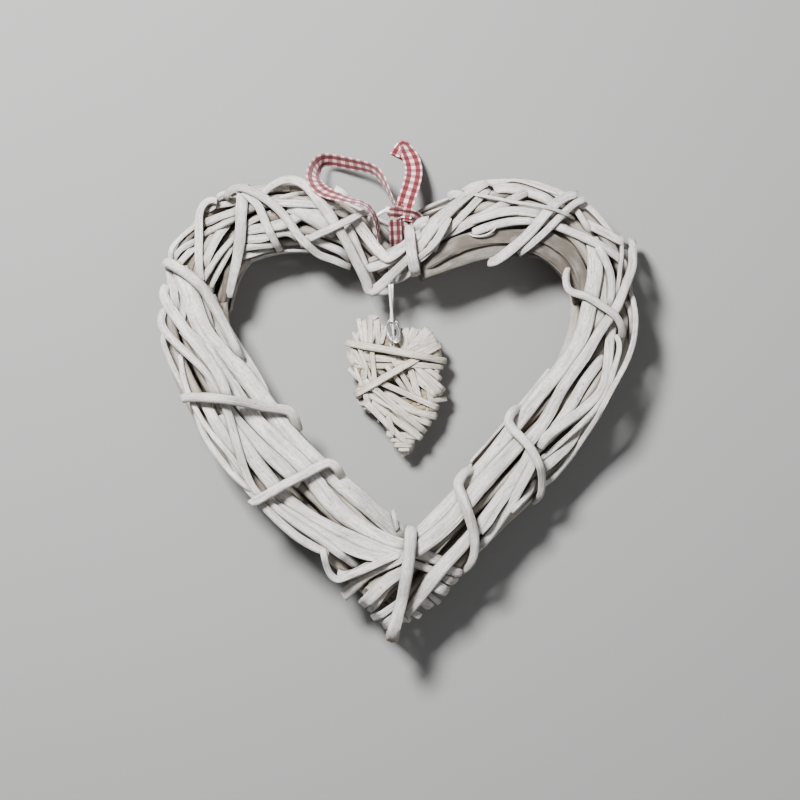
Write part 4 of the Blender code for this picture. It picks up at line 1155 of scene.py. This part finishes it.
def small_heart():
    pile = Pile()
    rods = []
    for node in nodes_named("small_heart_frame"):
        strand = small_frame(node)
        pile.add(strand)
        build_packed(strand, ROD_LOOK, SPLIT)
        if "back" in node:
            points = strand.finer(2 * MM).points
            rods.append(points if points[0, 1] > points[-1, 1] else points[::-1])
    back = small_rows(pile, "back", SMALL_BACK_ROWS, (1.7, 2.5), 0.07, -1.0, rods)
    build("small_heart_back_strips", back, COIL_LOOK, SPLIT)
    inner = small_rows(pile, "inner", SMALL_INNER_ROWS, (1.7, 2.6), 0.12, 1.0, rods, 0.5, "ab")
    build("small_heart_inner_strips", inner, COIL_LOOK, TAN)
    for node in nodes_named("small_heart_band"):
        if node not in SMALL_WRAPS:
            build_packed(rewound_band(pile, read_strand(node, 4)), COIL_LOOK, SPLIT)
    front = [heart_strip(pile, f"small_front_{i}", *row) for i, row in enumerate(SMALL_STRIPS)]
    build_lots("small_heart_front_strips", front, SMALL_LOT, COIL_LOOK, SPLIT)
    for node, row in SMALL_WRAPS.items():
        build_packed(heart_strip(pile, node, *row), STRIP_LOOK, SPLIT)


# ------------ wire
def thread(name, points, radius):
    points = np.array(points, float) * MM
    across = np.tile((0.6, 0.8, 0.0), (len(points), 1))
    return Strand(name, points + PLAN_SHIFT, radius * MM, radius * MM, across)


WIRE_RADIUS = 0.88
WIRE_UNDER = 76.0 * MM  # where the wire goes under the strips of the cleft, and how far it dips there
WIRE_DIP = 12.0 * MM
DIP_OVER = 8.0 * MM
WIRE_TURNS = (0.15, math.pi * 1.1)
LOOPS = 7
LOOP_MIDDLE = (-3.2, 47.8, 21.0)
LOOP_RISE = 0.8  # from one loop to the next
LOOP_RADIUS = 0.62
PEG = ((-14.5, 119.5, 27), (-12.5, 121.3, 28.3), (-9, 123.4, 29), (-5, 125, 29))
PEG_RADIUS = 1.25
COIL_MIDDLE = (-7.6, 124.1, 29)
COIL_RADIUS = 1.75
COIL_WIRE_RADIUS = 0.5
COIL_TURNS = 3.2


def wire():
    """Two coated strands side by side and half turned, grey loops on the small heart, a coiled end above."""
    core = read_strand("hanging_wire").finer(1.5 * MM).points
    core[:, 2] -= WIRE_DIP * np.clip((core[:, 1] - PLAN_SHIFT[1] - WIRE_UNDER) / DIP_OVER, 0, 1)
    turns = np.linspace(*WIRE_TURNS, len(core))
    upward = np.tile(UP, (len(core), 1))
    pair = []
    for number, phase in enumerate((0.0, math.pi)):
        aside = np.column_stack((np.cos(turns + phase), np.zeros(len(core)), 0.8 * np.sin(turns + phase)))
        radius = WIRE_RADIUS * MM
        pair.append(Strand(f"wire_{number}", core + 1.03 * radius * aside, radius, radius, upward))
    build("hanging_wire_strands", pair, WIRE_LOOK, COATED, "hanging_wire")
    rng = seeded("wire loops")
    loops = []
    for number in range(LOOPS):
        angle = np.linspace(rng.uniform(0, 1), 2 * math.pi * rng.uniform(1.05, 1.2), 26)
        lean = rng.uniform(-0.30, 0.30)
        wide = rng.uniform(2.4, 3.7)
        tall = rng.uniform(5.8, 7.6)
        shape = (wide * np.sin(angle) + lean * tall * np.cos(angle), tall * np.cos(angle),
                 LOOP_RISE * number + 1.2 * np.cos(angle + number))
        loops.append(thread(f"wire_loop_{number}", np.column_stack(shape) + LOOP_MIDDLE, LOOP_RADIUS))
    build("hanging_wire_loops", loops, WIRE_LOOK, STEEL)
    turn = np.linspace(0, 2 * math.pi * COIL_TURNS, 60)
    shape = (0.16 * turn, COIL_RADIUS * np.cos(turn), COIL_RADIUS * np.sin(turn))
    coil = thread("wire_peg_coil", np.column_stack(shape) + COIL_MIDDLE, COIL_WIRE_RADIUS)
    build("cleft_wire_end", [thread("wire_peg", PEG, PEG_RADIUS), coil], WIRE_LOOK, COATED)


# ------------ ribbon
RIBBON_WIDTH = 11.0 * MM
RIBBON_THICKNESS = 0.4 * MM
RIBBON_COLUMNS = 15
RIBBON_PITCH = 1.1 * MM
PLEATS = 0.55  # how deep the pleats of the gathered ribbon are, in mm
PLEAT_ANGLE = 7.5
CUP = 0.5 * MM  # how deep the ribbon's hollow is, and how far its edges tilt
TILT = 0.35 * MM
RAISE_FROM = 6.0 * MM  # the height from which the ribbon feels upwards, and how clear it stays
RIBBON_CLEAR = 0.9 * MM
RIBBON_NEARBY = NEARBY + 20 * MM


def raised(pile, strand):
    """A ribbon's course, lifted where it would sink into what has been laid."""
    lift = np.zeros(len(strand.points))
    for shift in np.linspace(-1, 1, 5):
        edge = strand.points + strand.across * (strand.half_width * shift)[:, None]
        bases = edge * (1, 1, 0) + UP * RAISE_FROM
        rays = np.tile(UP, (len(bases), 1))
        top = pile.reach(bases, rays, np.full(len(bases), RIBBON_CLEAR), RIBBON_NEARBY) + RAISE_FROM
        lift = np.maximum(lift, top - edge[:, 2])
    for _ in range(30):
        middle = (lift[:-2] + lift[2:]) / 2
        lift[1:-1] = np.maximum(lift[1:-1], 0.96 * middle)
    strand.points = strand.points + UP * lift[:, None]
    return strand


def ribbon_piece(name, strands, held, node, pleats=0.0):
    """Flat woven ribbon along each strand: a thin closed band with a gentle cup, ripples and long pleats."""
    surface = Surface()
    cols = RIBBON_COLUMNS
    columns = np.linspace(-1, 1, cols)
    for strand in strands:
        rng = seeded(strand.name)
        fine = strand.finer(RIBBON_PITCH)
        run = run_length(fine.points)
        _, across, through = square_axes(fine)
        cup, tilt, deeper = (wander(rng, run[-1], wave * MM, run)[:, None] for wave in (30, 18, 9))
        lift = CUP * cup * (columns ** 2 - 0.4) + TILT * tilt * columns
        lift = lift + pleats * MM * (1 + 0.3 * deeper) * np.cos(columns * PLEAT_ANGLE)
        sheet = fine.points[:, None] + across[:, None] * (fine.half_width[:, None] * columns)[..., None]
        sheet = sheet + through[:, None] * lift[..., None]
        rows = len(run)
        normal = unit(np.cross(np.gradient(sheet, axis=0), np.gradient(sheet, axis=1)))
        faced = [sheet + normal * side * RIBBON_THICKNESS / 2 for side in (1, -1)]
        both = np.concatenate(faced).reshape(-1, 3)
        both[:, 2] = np.maximum(both[:, 2], 0.0)
        weave = np.zeros((rows, cols, 3))
        weave[..., 0] = columns * RIBBON_WIDTH / 2
        weave[..., 1] = run[:, None]
        weave = weave.reshape(-1, 3)
        half = rows * cols
        faces = []
        for a in (r * cols + c for r in range(rows - 1) for c in range(cols - 1)):
            quad = (a, a + cols, a + cols + 1, a + 1)
            faces += [quad, tuple(i + half for i in quad[::-1])]
        rim = [r * cols for r in range(rows)] + [(rows - 1) * cols + c for c in range(1, cols)]
        rim += [r * cols + cols - 1 for r in range(rows - 2, -1, -1)] + list(range(cols - 2, 0, -1))
        faces += [(here, here + half, there + half, there) for here, there in zip(rim, rim[1:] + rim[:1])]
        surface.add(both, faces, grain=np.concatenate((weave, weave)))
    thing = surface.piece(name, GINGHAM_IN_SHADE if held == "gathered" else GINGHAM, [node], crease=50)


def plain_strand(name, table, half_width, across):
    points = spline(np.array(table, float) * MM, 60) + PLAN_SHIFT
    across = np.tile(unit(np.array(across, float)), (len(points), 1))
    return Strand(name, points, half_width * MM, RIBBON_THICKNESS / 2, across)


def rolled_ribbon(name, table):
    """A ribbon's course from points and the roll of its width up from level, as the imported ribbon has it."""
    dense = evenly(spline(table), 90)
    points = dense[:, :3] * MM + PLAN_SHIFT
    roll = np.radians(dense[:, 3])[:, None]
    along = directions(points)
    level = unit(np.cross(along, UP))
    rise = unit(np.cross(level, along))
    across = level * np.cos(roll) + rise * np.sin(roll)
    return Strand(name, points, RIBBON_WIDTH / 2, RIBBON_THICKNESS / 2, across)


# Courses: points, and for the loops the roll in degrees.
LEFT_LOOP = ((-2.5, 127, 27.5, 82), (-7.0, 137, 25, 76), (-10.3, 144, 22.5, 72), (-16, 150.3, 18.5, 66),
             (-26, 153.8, 14, 58), (-37, 156.3, 11, 54), (-46, 157.4, 10.5, 50), (-50.4, 154.8, 15, 44),
             (-53.4, 147, 27, 36), (-51.0, 138.6, 38, 38), (-45.3, 133.6, 44, 48), (-37, 130.5, 47.5, 58),
             (-29.5, 128, 49, 66), (-22.5, 126.5, 48.5, 70), (-17.3, 122.5, 47, 72), (-14, 115.5, 44, 76),
             (-12.3, 106, 36, 80))
RIGHT_BAND = ((2.5, 119, 31, 6), (4.3, 128, 29.5, 4), (7, 137, 26, 0), (9.2, 146, 19.5, 0),
              (9.4, 152, 14, -4), (7.9, 158.5, 9.5, -14), (5.0, 165, 6, -36), (3.2, 167.6, 4.6, -50),
              (1.2, 165, 3.2, -36), (-0.8, 160.5, 2.8, -16))
TIE = ((-2.4, 118, 29), (-2.1, 112, 28.4), (-1.7, 105, 27.5), (-1.5, 100, 24), (-1.5, 97, 18), (-1.5, 95, 12),
       (-1.5, 92, 7.5))
SECOND = ((4.3, 121, 29.5), (4.6, 113, 28.0), (4.9, 105, 25), (5, 98, 20), (5, 93, 14))
KNOT_END = ((3, 121, 31), (7, 120.5, 31.5), (10.5, 119.5, 30), (12.5, 117.5, 28.5))
KNOT_HALF_SIZES = (5.0, 3.9)


def ribbon(pile):
    left = raised(pile, rolled_ribbon("ribbon_left", LEFT_LOOP))
    right = raised(pile, rolled_ribbon("ribbon_right", RIGHT_BAND))
    ribbon_piece("ribbon_left_loop_cloth", [left], "draped", "ribbon_left_loop")
    ribbon_piece("ribbon_right_band_cloth", [right], "folded", "ribbon_right_band")
    tie = plain_strand("ribbon_tie_course", TIE, 3.9, (1, 0, 0))
    second = plain_strand("ribbon_second", SECOND, 4.3, (1, 0.05, 0.1))
    ribbon_piece("ribbon_tie_cloth", [tie, second], "gathered", "ribbon_tie", PLEATS)
    turn = np.linspace(-0.4, 2 * math.pi + 0.7, 40)
    wide, deep = KNOT_HALF_SIZES
    ring = np.column_stack((wide * np.cos(turn), 0.3 * turn, deep * np.sin(turn)))
    ring = ring + (KNOT_BOX.mean(axis=0) - PLAN_SHIFT) / MM
    wrap = plain_strand("ribbon_knot_wrap", ring, 3.7, (0, 1, 0))
    bit = plain_strand("ribbon_knot_end", KNOT_END, 3.9, (0.3, 1, 0.2))
    ribbon_piece("ribbon_knot_cloth", [wrap, bit], "gathered", "ribbon_knot", PLEATS)


# ------------ floor, light and camera
PHOTO_MIDDLE = (0.9, 4.4)  # the picture's middle, in the wreath's plan
PHOTO_WIDTH = 503.2 * MM  # plan width that the picture shows at the height of the rods
CAMERA_FOCUS = 30.0 * MM
LENS = 100.0
SENSOR = 36.0
FLOOR = 3.0
FLOOR_COLOUR = (0.25, 0.248, 0.245)
SKY_COLOUR = (0.95, 0.97, 1.0, 1.0)
SKY_STRENGTH = 0.14
LIT = (0, 0, 0.02)  # where the lamps point; each has a place, a size and a power
LAMPS = (("key", (-0.50, 0.70, 1.15), 0.30, 72.0), ("fill", (0.8, -0.3, 1.2), 1.2, 5.0))


def studio():
    mesh = bpy.data.meshes.new("floor")
    corners = [(FLOOR * x, FLOOR * y, 0) for x, y in ((-1, -1), (1, -1), (1, 1), (-1, 1))]
    mesh.from_pydata(corners, [], [(0, 1, 2, 3)])
    mesh.materials.append(Shader("pale floor").finish(Base_Color=FLOOR_COLOUR, Roughness=0.9))
    linked("floor", mesh)
    world = bpy.data.worlds.new("studio")
    bpy.context.scene.world = world
    world.use_nodes = True
    sky = world.node_tree.nodes["Background"].inputs
    sky["Color"].default_value = SKY_COLOUR
    sky["Strength"].default_value = SKY_STRENGTH
    for name, place, size, watts in LAMPS:
        data = bpy.data.lights.new(name, "AREA")
        data.size = size
        data.energy = watts
        lamp = linked(name, data)
        lamp.location = place
        lamp.rotation_euler = (Vector(LIT) - lamp.location).to_track_quat("-Z", "Y").to_euler()


def camera():
    data = bpy.data.cameras.new("camera")
    data.lens = LENS
    data.sensor_width = SENSOR
    thing = linked("camera", data)
    x, y = np.array(PHOTO_MIDDLE) * MM + PLAN_SHIFT[:2]
    thing.location = (x, y, CAMERA_FOCUS + PHOTO_WIDTH * LENS / SENSOR)
    bpy.context.scene.camera = thing


camera()
studio()
arms = Pile()
long_rods(arms)
underside(arms)
for group in LAID:
    laid(group, arms)
    wound(group, arms)
small_heart()
wire()
ribbon(arms)
